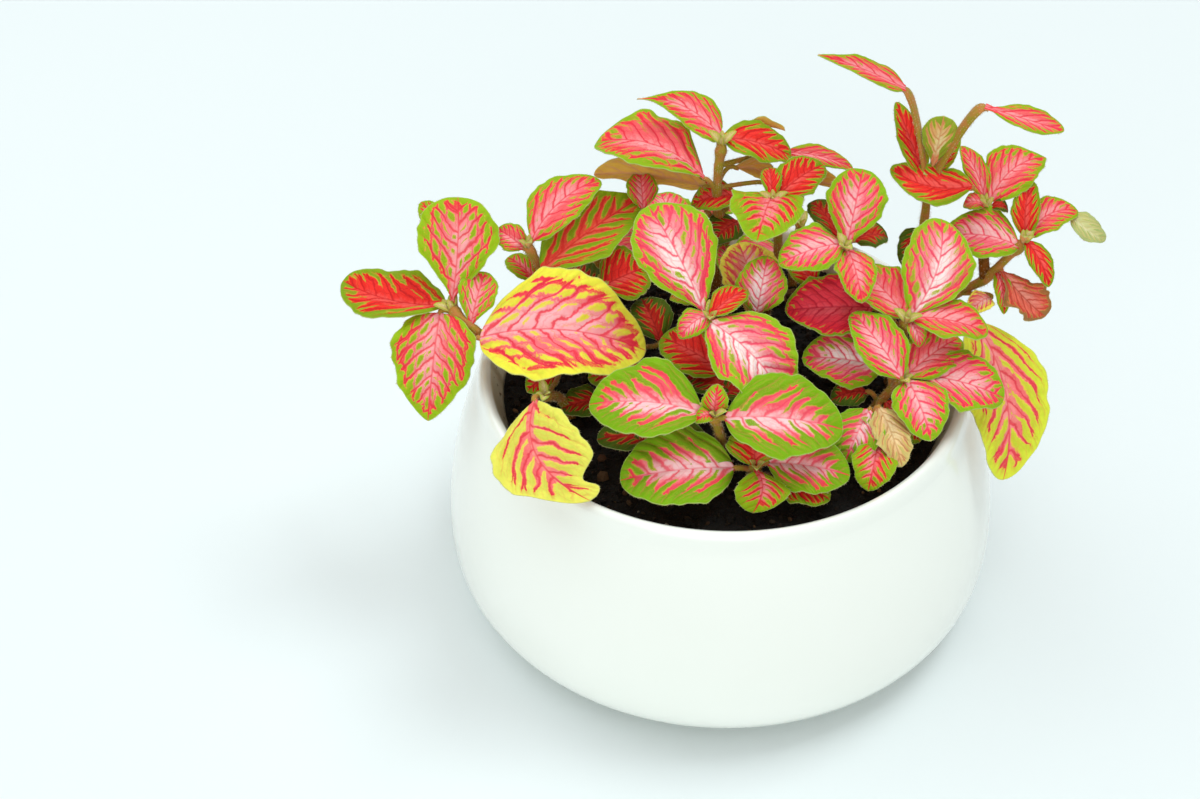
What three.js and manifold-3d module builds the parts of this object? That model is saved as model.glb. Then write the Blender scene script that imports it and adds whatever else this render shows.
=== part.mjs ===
// A nerve plant in a squat glazed bowl pot.
// Millimetres, +Z up, origin at the centre of the pot's flat base.
// The plant was photographed from the front and above, along +Y and down. A place given as
// [across, down, height] is a point on that sight line: the first two are where it shows in the
// 1200 x 799 picture, the third is its real height above the base.

import * as THREE from 'three';
import { mergeVertices } from 'three/addons/utils/BufferGeometryUtils.js';
import Module from 'manifold-3d';

const wasm = await Module();
wasm.setup();

// Pot
const FOOT_RADIUS = 40;
const BELLY_RADIUS = 80;
const BELLY_HEIGHT = 23.7;
const RIM_RADIUS = 67.5;
const RIM_HEIGHT = 75.2;
const LOWER_ROUNDNESS = 3.18;
const UPPER_ROUNDNESS = 1.71;
const WALL = 8;
const POT_FLOOR = 7;
const POT_SIDES = 40;

// Soil
const SOIL_EDGE_HEIGHT = 66;
const SOIL_MOUND = 2.2;
const FIT_GAP = 0.3;
const HOLE_DEPTH = 9;
const HOLE_RADIUS = 2.3;
const HOLE_SIDES = 8;

// Stems, leaf stalks and blades
const STEM_RADIUS = 1.7;
const STEM_TIP_RADIUS = 1.2;
const STEM_SIDES = 6;
const STEM_STEP = 8;
const STALK_RADIUS = 0.8;
const STALK_STEP = 9;
const BLADE_THICKNESS = 0.7;
const CREASE = 0.22;
const EDGE_WAVE = 0.03;
const BLADE_STATIONS = [0, 0.2, 0.5, 0.8, 1];
const LARGE_BLADE_STATIONS = [0, 0.15, 0.38, 0.62, 0.85, 1];
const SMALL_BLADE = 10;
const SMALL_BLADE_STATIONS = [0, 0.25, 0.6, 1];
const LARGE_BLADE = 13.5;
const BLADE_COLUMNS = 3;
const BLADE_END_FACES = [[0, 1, 4], [0, 4, 5], [1, 2, 3], [1, 3, 4]];

// The picture's sight lines
const PICTURE_WIDTH = 1200;
const PICTURE_HEIGHT = 799;
const FOCAL_LENGTH = 1800;
const CAMERA_PITCH = THREE.MathUtils.degToRad(41.6);
const CAMERA_ROLL = THREE.MathUtils.degToRad(-1.26);
const EYE = new THREE.Vector3(-34.8, -384.97, 403.65);
const FORWARD = new THREE.Vector3(0, Math.cos(CAMERA_PITCH), -Math.sin(CAMERA_PITCH));
const LEVEL_RIGHT = new THREE.Vector3(1, 0, 0);
const LEVEL_UP = new THREE.Vector3().crossVectors(LEVEL_RIGHT, FORWARD);
const RIGHT = LEVEL_RIGHT.clone().applyAxisAngle(FORWARD, -CAMERA_ROLL);
const UP = LEVEL_UP.clone().applyAxisAngle(FORWARD, -CAMERA_ROLL);

// The point at a given height that shows at a given place in the picture.
function seen([across, down, height]) {
  const ray = FORWARD.clone()
    .addScaledVector(RIGHT, (across - PICTURE_WIDTH / 2) / FOCAL_LENGTH)
    .addScaledVector(UP, (PICTURE_HEIGHT / 2 - down) / FOCAL_LENGTH);
  return EYE.clone().addScaledVector(ray, (height - EYE.z) / ray.z);
}

// A place is a point, or what the picture shows.
function place(where) {
  return where.isVector3 ? where.clone() : seen(where);
}

// One blade: where its base and its tip show, and its width. tilt and heading lean its upper face
// away from straight up, heading 0 towards the viewer, 90 to the right and 180 away. arch lifts its
// middle, bend bows its midrib to its right, fold lifts its edges, fullest is where along it is
// widest, and taper and blunt are how pointed its base and its tip are. joint is how far up the stem
// its stalk leaves, and stalk is the stalk's width, 0 for a blade that grows out of another.
const PLAIN_BLADE = {
  tilt: 20,
  heading: 0,
  arch: 2,
  bend: 0,
  fold: 1,
  fullest: 0.45,
  taper: 0.75,
  blunt: 0.52,
  joint: 0.96,
  stalk: 1.6,
};
// A long leaf that narrows to a flat strap instead of a stalk.
const STRAP = { arch: 0, taper: 1.1, blunt: 0.9, stalk: 4 };

function blade(base, tip, width, shape = {}) {
  return { base, tip, width, ...PLAIN_BLADE, ...shape };
}

// The leafy stems. One starts at root, its place across and back on the soil, or at fork, its place
// on an earlier stem of the same shoot, and passes through the places given up to its tip.
const SHOOTS = {
  shoot_left: [{
    root: [-50, 4],
    through: [[497, 345, 80], [475, 330, 88], [450, 308, 92]],
    blades: [
      blade([452, 303, 93], [458, 197, 115], 23, { bend: 1, fullest: 0.64, taper: 0.9, blunt: 0.45 }),
      blade([445, 306, 92], [343, 281, 91], 21, { tilt: 5, arch: 0, bend: -3 }),
      blade([440, 313, 91], [428, 421, 70], 23, { fullest: 0.36, taper: 0.6, blunt: 0.85 }),
      blade([471, 326, 89], [486, 272, 99], 11, { fullest: 0.6, joint: 0.8 }),
      blade([447, 240, 100], [421, 202, 107], 8),
      blade([480, 338, 88], [646, 351, 87], 34, { arch: 6, bend: -1, taper: 0.65, joint: 0.72 }),
    ],
  }],
  shoot_front_left: [{
    root: [-43, -14],
    through: [[560, 398, 77], [545, 396, 85]],
    blades: [
      blade([535, 401, 87], [590, 501, 78], 25, { bend: 7, fullest: 0.56, taper: 0.65, blunt: 0.5 }),
      blade([556, 374, 78], [527, 392, 77], 9),
      blade([604, 402, 73], [560, 410, 73], 10, { joint: 0.4 }),
      blade([650, 376, 78], [588, 378, 79], 13, { joint: 0.5 }),
    ],
  }],
  shoot_back_left: [{
    root: [-40, 18],
    through: [[548, 285, 90], [537, 262, 99], [527, 245, 105]],
    blades: [
      blade([532, 240, 106], [600, 180, 116], 15, { bend: -2 }),
      blade([542, 270, 99], [641, 198, 107], 20, { blunt: 0.7, joint: 0.7 }),
      blade([524, 248, 104], [497, 229, 108], 8, { tilt: 40 }),
      blade([535, 281, 91], [507, 258, 94], 8, { joint: 0.5 }),
    ],
  }],
  shoot_left_low: [{
    root: [-26, 12],
    through: [[610, 320, 84], [603, 290, 91]],
    blades: [
      blade([603, 287, 92], [648, 268, 94], 19, { arch: 1 }),
      blade([660, 340, 83], [641, 299, 88], 12, { joint: 0.4 }),
      blade([592, 302, 90], [570, 268, 88], 13, { joint: 0.8 }),
    ],
  }],
  shoot_back: [{
    root: [0, 34],
    through: [[720, 240, 93], [717, 185, 113], [722, 142, 125]],
    blades: [
      blade([720, 136, 125], [637, 99, 134], 12, { arch: 0, bend: 4, fullest: 0.28, taper: 0.6, blunt: 1.5 }),
      blade([722, 138, 125], [791, 157, 118], 13, { blunt: 0.42 }),
      blade([735, 134, 123], [785, 130, 123], 8, { tilt: 50, heading: 180 }),
      blade([786, 153, 115], [853, 169, 111], 7, { joint: 0.9 }),
      blade([735, 167, 116], [774, 182, 111], 10, { tilt: 60, heading: 180, joint: 0.8 }),
      blade([765, 182, 112], [842, 188, 108], 13, { tilt: 60, heading: 180, joint: 0.8 }),
      blade([704, 178, 116], [596, 143, 121], 24, {
        tilt: 5, arch: 4, bend: 2, fullest: 0.55, blunt: 0.45, joint: 0.72,
      }),
      blade([706, 186, 111], [594, 174, 114], 17, { tilt: 70, heading: 180, joint: 0.68 }),
      blade([643, 208, 107], [640, 172, 113], 9, { joint: 0.6 }),
      blade([738, 196, 109], [691, 206, 106], 10, { joint: 0.66 }),
      blade([706, 206, 105], [706, 178, 112], 5, { joint: 0.62 }),
      blade([738, 222, 100], [713, 243, 97], 11, { joint: 0.45 }),
    ],
  }],
  shoot_back_centre: [{
    root: [14, 26],
    through: [[778, 250, 96], [773, 201, 115]],
    blades: [
      blade([772, 197, 115], [757, 242, 116], 20, { tilt: 5, fullest: 0.42, taper: 0.4 }),
      blade([776, 198, 115], [824, 165, 120], 13),
      blade([772, 197, 116], [769, 168, 119], 6),
    ],
  }],
  shoot_centre: [{
    root: [-1, -7],
    through: [[720, 370, 80], [712, 335, 93], [710, 318, 100]],
    blades: [
      blade([704, 312, 100], [648, 206, 120], 23, { fullest: 0.6, arch: 3 }),
      blade([710, 322, 100], [786, 403, 85], 24, { arch: 3, bend: -1 }),
      blade([708, 315, 100], [679, 338, 97], 8),
      blade([710, 316, 101], [747, 291, 103], 8),
      blade([722, 372, 80], [661, 338, 85], 17, { joint: 0.4 }),
      blade([735, 387, 77], [683, 379, 77], 11, { joint: 0.3 }),
      blade([722, 396, 76], [748, 389, 76], 8, { joint: 0.25 }),
      blade([700, 300, 95], [670, 298, 94], 7, { joint: 0.8 }),
    ],
  }],
  shoot_centre_back: [{
    root: [12, 4],
    through: [[760, 345, 80], [757, 312, 93]],
    blades: [
      blade([757, 312, 95], [768, 256, 107], 14),
      blade([757, 302, 92], [738, 243, 101], 17),
      blade([735, 282, 88], [722, 245, 94], 8, { joint: 0.8 }),
    ],
  }],
  shoot_right_back: [{
    root: [30, 12],
    through: [[842, 288, 90], [845, 248, 112]],
    blades: [
      blade([847, 246, 112], [863, 169, 128], 16, { fullest: 0.6, blunt: 0.45 }),
      blade([842, 244, 112], [779, 265, 110], 14),
      blade([848, 250, 111], [862, 303, 105], 11),
      blade([838, 236, 107], [811, 202, 110], 9, { joint: 0.9 }),
      blade([855, 240, 108], [888, 238, 108], 9, { joint: 0.9 }),
      blade([815, 286, 95], [789, 261, 98], 9, { joint: 0.6 }),
    ],
  }],
  shoot_right: [{
    root: [47, -2],
    through: [[907, 320, 98]],
    blades: [
      blade([906, 318, 98], [857, 268, 103], 14),
      blade([911, 316, 98], [941, 219, 116], 19, { bend: 3, fullest: 0.54 }),
      blade([912, 318, 98], [988, 334, 96], 14, { tilt: 10 }),
      blade([910, 322, 97], [920, 347, 93], 5),
      blade([872, 308, 94], [785, 311, 95], 19, { arch: 1, joint: 0.85 }),
    ],
  }],
  shoot_front_right: [{
    root: [37, -20],
    through: [[885, 396, 78], [903, 380, 86]],
    blades: [
      blade([901, 378, 88], [852, 313, 99], 14),
      blade([905, 377, 86], [959, 338, 89], 14),
      blade([908, 381, 86], [931, 441, 80], 15),
      blade([925, 376, 86], [1004, 399, 82], 19, { tilt: 25, heading: 30 }),
      blade([881, 368, 82], [802, 358, 84], 19, { joint: 0.8 }),
      blade([866, 392, 79], [831, 401, 78], 9, { joint: 0.6 }),
    ],
  }],
  shoot_front: [{
    root: [-2, -30],
    through: [[720, 435, 79], [714, 415, 88]],
    blades: [
      blade([702, 412, 88], [589, 405, 88], 24, { tilt: 15, arch: 3 }),
      blade([725, 418, 88], [843, 430, 86], 25, { tilt: 20, arch: 3 }),
      blade([714, 413, 88], [718, 384, 95], 7),
      blade([712, 417, 88], [695, 422, 88], 5),
      blade([714, 453, 75], [632, 441, 76], 14, { joint: 0.4 }),
      blade([690, 433, 74], [597, 440, 75], 14, { joint: 0.3 }),
    ],
  }],
  shoot_front_low: [{
    root: [5, -40],
    through: [[756, 466, 76]],
    blades: [
      blade([734, 468, 75], [620, 481, 74], 25, { tilt: 15, joint: 0.8 }),
      blade([755, 466, 76], [752, 426, 82], 15),
      blade([756, 470, 76], [753, 513, 71], 14, { bend: -2, fullest: 0.6 }),
      blade([768, 463, 76], [850, 476, 75], 18),
      blade([778, 481, 72], [830, 500, 71], 12, { joint: 0.8 }),
    ],
  }],
  shoot_front_edge: [{
    root: [35, -34],
    through: [[872, 425, 78]],
    blades: [
      blade([869, 410, 81], [845, 462, 73], 14),
      blade([878, 444, 77], [868, 491, 71], 12),
      blade([879, 408, 82], [902, 467, 75], 10),
      blade([886, 402, 77], [920, 442, 71], 13, { arch: 1 }),
    ],
  }],
  shoot_tall: [{
    root: [46, 12],
    through: [[915, 260, 98], [925, 215, 108], [928, 178, 118]],
    blades: [
      blade([905, 89, 145], [818, 55, 157], 8, { ...STRAP, bend: 1, fullest: 0.33 }),
      blade([985, 107, 142], [1064, 131, 139], 8, { ...STRAP, arch: 1, bend: 1 }),
      blade([924, 176, 119], [896, 102, 137], 8, { bend: -1 }),
      blade([931, 174, 119], [944, 116, 136], 10, { fullest: 0.75, taper: 1, blunt: 0.4 }),
      blade([935, 173, 119], [959, 134, 129], 7),
      blade([972, 187, 119], [890, 169, 121], 14, { arch: 0, bend: -3 }),
      blade([925, 230, 104], [902, 265, 99], 9, { joint: 0.6 }),
    ],
  }],
  shoot_right_edge: [{
    root: [53, 0],
    through: [[945, 302, 84], [985, 279, 93], [1003, 262, 99], [1024, 241, 105]],
    blades: [
      blade([1025, 237, 105], [1031, 180, 117], 8, { bend: -1 }),
      blade([1028, 236, 105], [1078, 211, 110], 11, { bend: -2 }),
      blade([1071, 215, 109], [1105, 241, 104], 8, { bend: 2, stalk: 0 }),
      blade([1026, 241, 105], [1049, 287, 97], 7),
      blade([1019, 247, 104], [942, 238, 104], 17, { bend: 1, joint: 0.95 }),
      blade([1001, 270, 97], [1045, 317, 88], 12, { bend: 2, fullest: 0.6, joint: 0.8 }),
      blade([998, 272, 96], [1004, 314, 90], 5, { joint: 0.75 }),
      blade([990, 298, 91], [968, 314, 90], 7, { joint: 0.6 }),
      blade([975, 322, 87], [1003, 480, 58], 25, { tilt: 35, heading: 30, arch: 4, bend: -3, joint: 0.5 }),
    ],
  }, {
    fork: [985, 279, 93],
    through: [[983, 240, 102], [986, 205, 111]],
    blades: [
      blade([984, 198, 112], [961, 146, 123], 7),
      blade([990, 200, 112], [1046, 158, 119], 15, { arch: 3, bend: -2, fullest: 0.42, blunt: 0.8 }),
      blade([985, 206, 111], [963, 206, 110], 6),
      blade([990, 207, 111], [1008, 212, 110], 4),
    ],
  }],
};

// Low growth at the back, behind what the picture shows: short stems with crossed pairs of leaves.
// heights are those of the pairs, turn is the first pair's heading and grow its blades' length.
const REAR_STALK = 4;
const REAR_RISE = 2;
const REAR_SHRINK = 0.18;
const REAR_SLENDERNESS = 0.72;
const REAR_SHOOTS = {
  shoot_rear_left: { root: [-31, 37], tip: [-37, 43, 91], heights: [77, 84, 91], turn: 60, grow: 16 },
  shoot_rear: { root: [-9, 48], tip: [-12, 52, 86], heights: [77, 85], turn: 100, grow: 20 },
  shoot_rear_right: { root: [24, 43], tip: [26, 50, 85], heights: [76, 84], turn: 20, grow: 19 },
};

function rearShoot({ root, tip, heights, turn, grow }) {
  const top = new THREE.Vector3(...tip);
  const bottom = new THREE.Vector3(...root, SOIL_EDGE_HEIGHT);
  const blades = heights.flatMap((height, pair) => {
    const rise = (height - bottom.z) / (top.z - bottom.z);
    const node = bottom.clone().lerp(top, rise);
    const size = grow * (1 - REAR_SHRINK * pair);
    return [0, 180].map((side) => {
      const heading = THREE.MathUtils.degToRad(turn + 90 * pair + side);
      const out = new THREE.Vector3(Math.cos(heading), Math.sin(heading), 0);
      const base = node.clone().addScaledVector(out, REAR_STALK).setZ(height + REAR_RISE);
      const end = base.clone().addScaledVector(out, size).setZ(height + 2 * REAR_RISE - pair);
      const joint = PLAIN_BLADE.joint * rise;
      return blade(base, end, REAR_SLENDERNESS * size, { tilt: 0, joint });
    });
  });
  return [{ root, through: [top], blades }];
}

for (const [name, shoot] of Object.entries(REAR_SHOOTS)) SHOOTS[name] = rearShoot(shoot);

// Turns an outline of [radius, height] points about the pot's axis.
function turned(outline) {
  const points = outline.map(([radius, height]) => new THREE.Vector2(radius, height));
  return new THREE.LatheGeometry(points, POT_SIDES).rotateX(Math.PI / 2);
}

// Radius of the pot's outside at a height.
function outerRadius(height) {
  if (height < BELLY_HEIGHT) {
    const drop = 1 - height / BELLY_HEIGHT;
    const bulge = (1 - drop ** LOWER_ROUNDNESS) ** (1 / LOWER_ROUNDNESS);
    return FOOT_RADIUS + (BELLY_RADIUS - FOOT_RADIUS) * bulge;
  }
  const rise = (height - BELLY_HEIGHT) / (RIM_HEIGHT - BELLY_HEIGHT);
  return BELLY_RADIUS - (BELLY_RADIUS - RIM_RADIUS) * rise ** UPPER_ROUNDNESS;
}

// Heights up the outside, closer together near the foot, where it turns fastest.
const OUTSIDE_HEIGHTS = [0, 0.5, 2.5, 7, 14, 24, 36, 50, 62, 70];
const INSIDE_HEIGHTS = [66, 50, 30, 14];
const RIM_OUTLINE = [[68.8, 73.4], [68.1, 74.7], [67.2, RIM_HEIGHT], [66.1, 74.8], [64.9, 73.2]];

function insideOutline(gap) {
  return INSIDE_HEIGHTS.map((height) => [outerRadius(height) - WALL - gap - 1, height]);
}

function potGeometry() {
  const outline = [
    [0, 0],
    ...OUTSIDE_HEIGHTS.map((height) => [outerRadius(height), height]),
    ...RIM_OUTLINE,
    ...insideOutline(0),
    [54, POT_FLOOR + 1],
    [48, POT_FLOOR],
    [0, POT_FLOOR],
  ];
  return turned(outline);
}

function soilGeometry() {
  const outline = [
    [0, POT_FLOOR + FIT_GAP],
    [47.8, POT_FLOOR + FIT_GAP],
    [53.7, POT_FLOOR + 1 + FIT_GAP],
    ...insideOutline(FIT_GAP).reverse(),
    [50, SOIL_EDGE_HEIGHT + 0.5 * SOIL_MOUND],
    [30, SOIL_EDGE_HEIGHT + 0.9 * SOIL_MOUND],
    [0, SOIL_EDGE_HEIGHT + SOIL_MOUND],
  ];
  return turned(outline);
}

function toSolid(geometry) {
  geometry.deleteAttribute('normal');
  geometry.deleteAttribute('uv');
  const merged = mergeVertices(geometry, 1e-4);
  return new wasm.Manifold(new wasm.Mesh({
    numProp: 3,
    vertProperties: Float32Array.from(merged.attributes.position.array),
    triVerts: Uint32Array.from(merged.index.array),
  }));
}

function toGeometry(solid) {
  const { vertProperties, triVerts } = solid.getMesh();
  const geometry = new THREE.BufferGeometry();
  geometry.setAttribute('position', new THREE.BufferAttribute(vertProperties, 3));
  geometry.setIndex(new THREE.BufferAttribute(triVerts, 1));
  geometry.computeVertexNormals();
  return geometry;
}

// Joins equal closed rings of points, first to last, into a solid. The end faces are given as
// triangles of the first ring. Sides from turnedFrom on are split along their other diagonal.
function loft(rings, endFaces, turnedFrom = Infinity) {
  const sides = rings[0].length;
  const faces = [];
  for (let ring = 0; ring < rings.length - 1; ring += 1) {
    for (let side = 0; side < sides; side += 1) {
      const a = ring * sides + side;
      const b = ring * sides + (side + 1) % sides;
      if (side < turnedFrom) faces.push(a, b, b + sides, a, b + sides, a + sides);
      else faces.push(a, b, a + sides, b, b + sides, a + sides);
    }
  }
  const last = (rings.length - 1) * sides;
  for (const [a, b, c] of endFaces) faces.push(a, c, b, last + a, last + b, last + c);
  return new wasm.Manifold(new wasm.Mesh({
    numProp: 3,
    vertProperties: Float32Array.from(rings.flat().flatMap((point) => point.toArray())),
    triVerts: Uint32Array.from(faces),
  }));
}

function fanFaces(sides) {
  const faces = [];
  for (let side = 1; side < sides - 1; side += 1) faces.push([0, side, side + 1]);
  return faces;
}

// A round stem or stalk along a curve, thinning from one radius to the other.
function taperedTube(curve, steps, startRadius, endRadius, sides) {
  const rings = [];
  const frames = curve.computeFrenetFrames(steps, false);
  for (let step = 0; step <= steps; step += 1) {
    const radius = THREE.MathUtils.lerp(startRadius, endRadius, step / steps);
    const centre = curve.getPointAt(step / steps);
    const ring = [];
    for (let side = 0; side < sides; side += 1) {
      const angle = (2 * Math.PI * side) / sides;
      ring.push(centre.clone()
        .addScaledVector(frames.normals[step], radius * Math.cos(angle))
        .addScaledVector(frames.binormals[step], radius * Math.sin(angle)));
    }
    rings.push(ring);
  }
  return loft(rings, fanFaces(sides));
}

// A blade's own directions: along its midrib, up from its face, and to its right.
function bladeFrame(leaf) {
  const base = place(leaf.base);
  const along = place(leaf.tip).sub(base);
  const length = along.length();
  along.normalize();
  const tilt = THREE.MathUtils.degToRad(leaf.tilt);
  const heading = THREE.MathUtils.degToRad(leaf.heading);
  const face = new THREE.Vector3(
    Math.sin(tilt) * Math.sin(heading),
    -Math.sin(tilt) * Math.cos(heading),
    Math.cos(tilt),
  );
  face.addScaledVector(along, -face.dot(along)).normalize();
  const right = new THREE.Vector3().crossVectors(along, face);
  return { base, along, face, right, length };
}

// Half the blade's width at a share of the way from base to tip.
function halfWidth(leaf, share) {
  const skew = Math.log(0.5) / Math.log(leaf.fullest);
  const power = THREE.MathUtils.lerp(leaf.taper, leaf.blunt, share);
  const belly = Math.max(Math.sin(Math.PI * share ** skew), 0) ** power;
  return Math.max(0.5 * leaf.width * belly, 0.5);
}

function midribPoint(leaf, frame, share) {
  const bow = 4 * share * (1 - share);
  return frame.base.clone()
    .addScaledVector(frame.along, frame.length * share)
    .addScaledVector(frame.face, leaf.arch * bow)
    .addScaledVector(frame.right, leaf.bend * bow);
}

// A flat ring of six points across a blade or its stalk, three above and three below.
function crossRing(middle, face, right, reach, core, edgeLifts = [0, 0]) {
  const half = 0.5 * BLADE_THICKNESS;
  const point = (across, lift) => middle.clone().addScaledVector(right, across).addScaledVector(face, lift);
  const [left, far] = edgeLifts;
  return [
    point(-reach, left + half), point(0, core), point(reach, far + half),
    point(reach, far - half), point(0, -core), point(-reach, left - half),
  ];
}

// Rings along the stalk, from inside the stem to the blade's base.
function stalkRings(leaf, frame, stem) {
  const start = stem.getPointAt(leaf.joint);
  const turn = frame.base.clone()
    .addScaledVector(frame.along, -0.4 * Math.min(start.distanceTo(frame.base), 8));
  const curve = new THREE.QuadraticBezierCurve3(start, turn, frame.base);
  const steps = Math.min(Math.ceil(curve.getLength() / STALK_STEP), 4);
  const reach = 0.5 * leaf.stalk;
  const core = Math.max(STALK_RADIUS, 0.3 * reach);
  const face = frame.face.clone();
  const right = frame.right.clone();
  let heading = frame.along.clone();
  const rings = [];
  for (let step = steps - 1; step >= 0; step -= 1) {
    const next = curve.getTangentAt(step / steps);
    const turning = new THREE.Quaternion().setFromUnitVectors(heading, next);
    face.applyQuaternion(turning);
    right.applyQuaternion(turning);
    heading = next;
    rings.unshift(crossRing(curve.getPointAt(step / steps), face, right, reach, core));
  }
  return rings;
}

function bladeStations({ width }) {
  if (width < SMALL_BLADE) return SMALL_BLADE_STATIONS;
  return width < LARGE_BLADE ? BLADE_STATIONS : LARGE_BLADE_STATIONS;
}

// Rings along the blade, creased along its midrib, with edges that wave a little.
function bladeRings(leaf, frame) {
  return bladeStations(leaf).map((share, station) => {
    const reach = halfWidth(leaf, share);
    const lift = leaf.fold * CREASE * reach;
    const wave = EDGE_WAVE * reach * (station % 2 ? 1 : -1);
    const core = share === 0 ? STALK_RADIUS : 0.5 * BLADE_THICKNESS;
    const middle = midribPoint(leaf, frame, share);
    return crossRing(middle, frame.face, frame.right, reach, core, [lift + wave, lift - wave]);
  });
}

function leafSolid(leaf, stem) {
  const frame = bladeFrame(leaf);
  const stalk = leaf.stalk ? stalkRings(leaf, frame, stem) : [];
  const rings = [...stalk, ...bladeRings(leaf, frame)];
  return loft(rings, BLADE_END_FACES, BLADE_COLUMNS);
}

function stemCurve(stem) {
  const bottom = SOIL_EDGE_HEIGHT - HOLE_DEPTH + FIT_GAP;
  const rootHeights = [bottom, bottom + 0.5 * HOLE_DEPTH, SOIL_EDGE_HEIGHT + SOIL_MOUND];
  const start = stem.fork
    ? [seen(stem.fork)]
    : rootHeights.map((height) => new THREE.Vector3(...stem.root, height));
  const points = [...start, ...stem.through.map(place)];
  return new THREE.CatmullRomCurve3(points, false, 'centripetal');
}

function shootSolid(stems) {
  const solids = [];
  for (const stem of stems) {
    const curve = stemCurve(stem);
    const steps = Math.ceil(curve.getLength() / STEM_STEP);
    solids.push(taperedTube(curve, steps, STEM_RADIUS, STEM_TIP_RADIUS, STEM_SIDES));
    for (const leaf of stem.blades) solids.push(leafSolid(leaf, curve));
  }
  return solids.reduce((whole, solid) => whole.add(solid));
}

function soilSolid() {
  let solid = toSolid(soilGeometry());
  for (const [{ root: [x, y] }] of Object.values(SHOOTS)) {
    const hole = new THREE.CylinderGeometry(HOLE_RADIUS, HOLE_RADIUS, 2 * HOLE_DEPTH, HOLE_SIDES);
    hole.rotateX(Math.PI / 2);
    hole.translate(x, y, SOIL_EDGE_HEIGHT);
    solid = solid.subtract(toSolid(hole));
  }
  return solid;
}

function named(name, geometry, color, roughness) {
  const material = new THREE.MeshStandardMaterial({ color, roughness, metalness: 0 });
  const mesh = new THREE.Mesh(geometry, material);
  mesh.name = name;
  return mesh;
}

const plant = new THREE.Group();
plant.add(named('pot', toGeometry(toSolid(potGeometry())), '#f1f4ec', 0.15));
plant.add(named('soil', toGeometry(soilSolid()), '#1c1512', 0.95));
for (const [name, stems] of Object.entries(SHOOTS)) {
  plant.add(named(name, toGeometry(shootSolid(stems)), '#c8405a', 0.45));
}

export default plant;
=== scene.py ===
"""A nerve plant in a squat glazed bowl pot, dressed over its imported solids.

Leaf places, sizes and heights are in millimetres, as in the solids, and meshes are made in metres.
A place given as (across, down, height) is a point on a sight line: the first two are where it
shows in the 1200 x 799 picture, the third is its real height above the pot's base.
"""

import functools
import itertools
import math
from types import SimpleNamespace

import bpy
import numpy as np
from mathutils import Matrix, Vector


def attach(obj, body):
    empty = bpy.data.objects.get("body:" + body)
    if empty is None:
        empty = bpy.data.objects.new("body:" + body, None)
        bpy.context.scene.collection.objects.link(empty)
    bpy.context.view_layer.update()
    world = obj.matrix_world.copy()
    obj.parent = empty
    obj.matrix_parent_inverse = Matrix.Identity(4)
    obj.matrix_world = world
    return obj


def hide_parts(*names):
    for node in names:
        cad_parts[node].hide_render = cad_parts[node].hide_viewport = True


MM = 0.001

# Pot
FOOT_RADIUS = 40
BELLY_RADIUS = 80
BELLY_HEIGHT = 23.7
RIM_RADIUS = 67.5
RIM_HEIGHT = 75.2
LOWER_ROUNDNESS = 3.18
UPPER_ROUNDNESS = 1.71
WALL = 9
POT_FLOOR = 7
POT_SIDES = 256
RIM_OUTLINE = [(68.8, 73.4), (68.1, 74.7), (67.2, RIM_HEIGHT), (66.1, 74.8), (64.9, 73.2)]
FLOOR_OUTLINE = [(54, POT_FLOOR + 1), (48, POT_FLOOR)]
# Its outside has this many steps below its widest part, and above that up to its shoulder
LOWER_STEPS = 28
UPPER_STEPS = 22
SHOULDER_HEIGHT = 70
INNER_HEIGHTS = range(66, 12, -4)
RIM_STEPS = 6
# How much smaller its flat underside is than its foot
FOOT_EDGE = 0.6

# Soil. SOIL_BEND is the height of the bend above its foot and its gap to the pot's wall there, and
# grains lie no nearer to the wall than SOIL_MARGIN.
SOIL_EDGE_HEIGHT = 66
SOIL_MOUND = 2.2
SOIL_LUMP = 0.9
# Its lumps: their length, their share of SOIL_LUMP and their random draw
LUMPS = [(9, 0.6, 11), (3.5, 0.4, 12)]
SOIL_RINGS = 60
SOIL_SIDES = 200
SOIL_GAP = 0.3
SOIL_MARGIN = 1
SOIL_SEED = 5
SOIL_FOOT_RADIUS = 47
SOIL_BEND = (14, 1)
SOIL_SIDE_HEIGHTS = (30, 45, 58)
# Its fine grains, coarse clods and pale crumbs: how many, their least and greatest size and tone
GRAINS = {"count": 2600, "sizes": (0.3, 1.5), "tones": (0, 0.35), "material": 0}
CLODS = {"count": 216, "sizes": (0.5, 2.2), "tones": (0.4, 1), "material": 0}
CRUMBS = {"count": 60, "sizes": (0.4, 0.9), "tones": (0, 1), "material": 1}
# How much a grain is stretched and its corners are moved, and how far it stands out
GRAIN_STRETCH = (0.55, 1.25)
GRAIN_JITTER = (0.75, 1.2)
GRAIN_RISE = 0.25

# Stems and leaf stalks
STEM_RADIUS = 1.7
STEM_TIP_RADIUS = 1.2
WIDEST_STEM = STEM_RADIUS + 0.25
STEM_SIDES = 14
STEM_SINK = 8
STEM_STEPS = 39
# The mean and the swing of its thickness, as shares, and the length of its bumps
STEM_BUMPS = (0.94, 0.04, 6)
STALK_SIDES = 10
TUBE_STEP = 0.8
# How far a stem swells where a stalk leaves it, and half the length of that swelling
JOINT_SWELL = 0.2
JOINT_LENGTH = 1.6
# Half the thickness of a stalk, and that of a wide one as a share of its width
STALK_DEPTH = 0.62
STRAP_DEPTH = 0.16
# How much wider and deeper a stalk is where it leaves the stem, how quickly that fades, and how much
# of its width and depth it loses under its blade
STALK_FLARE = (0.25, 0.3)
FLARE_FADE = 10
STALK_TAPER = (0.6, 0.45)
# It turns to its blade over this share of its length, taken as no more than this long. Then it runs
# on under the blade, and drops a little
STALK_TURN = (0.4, 8)
STALK_OVERLAP = 1.2
STALK_DROP = 0.35
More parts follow.
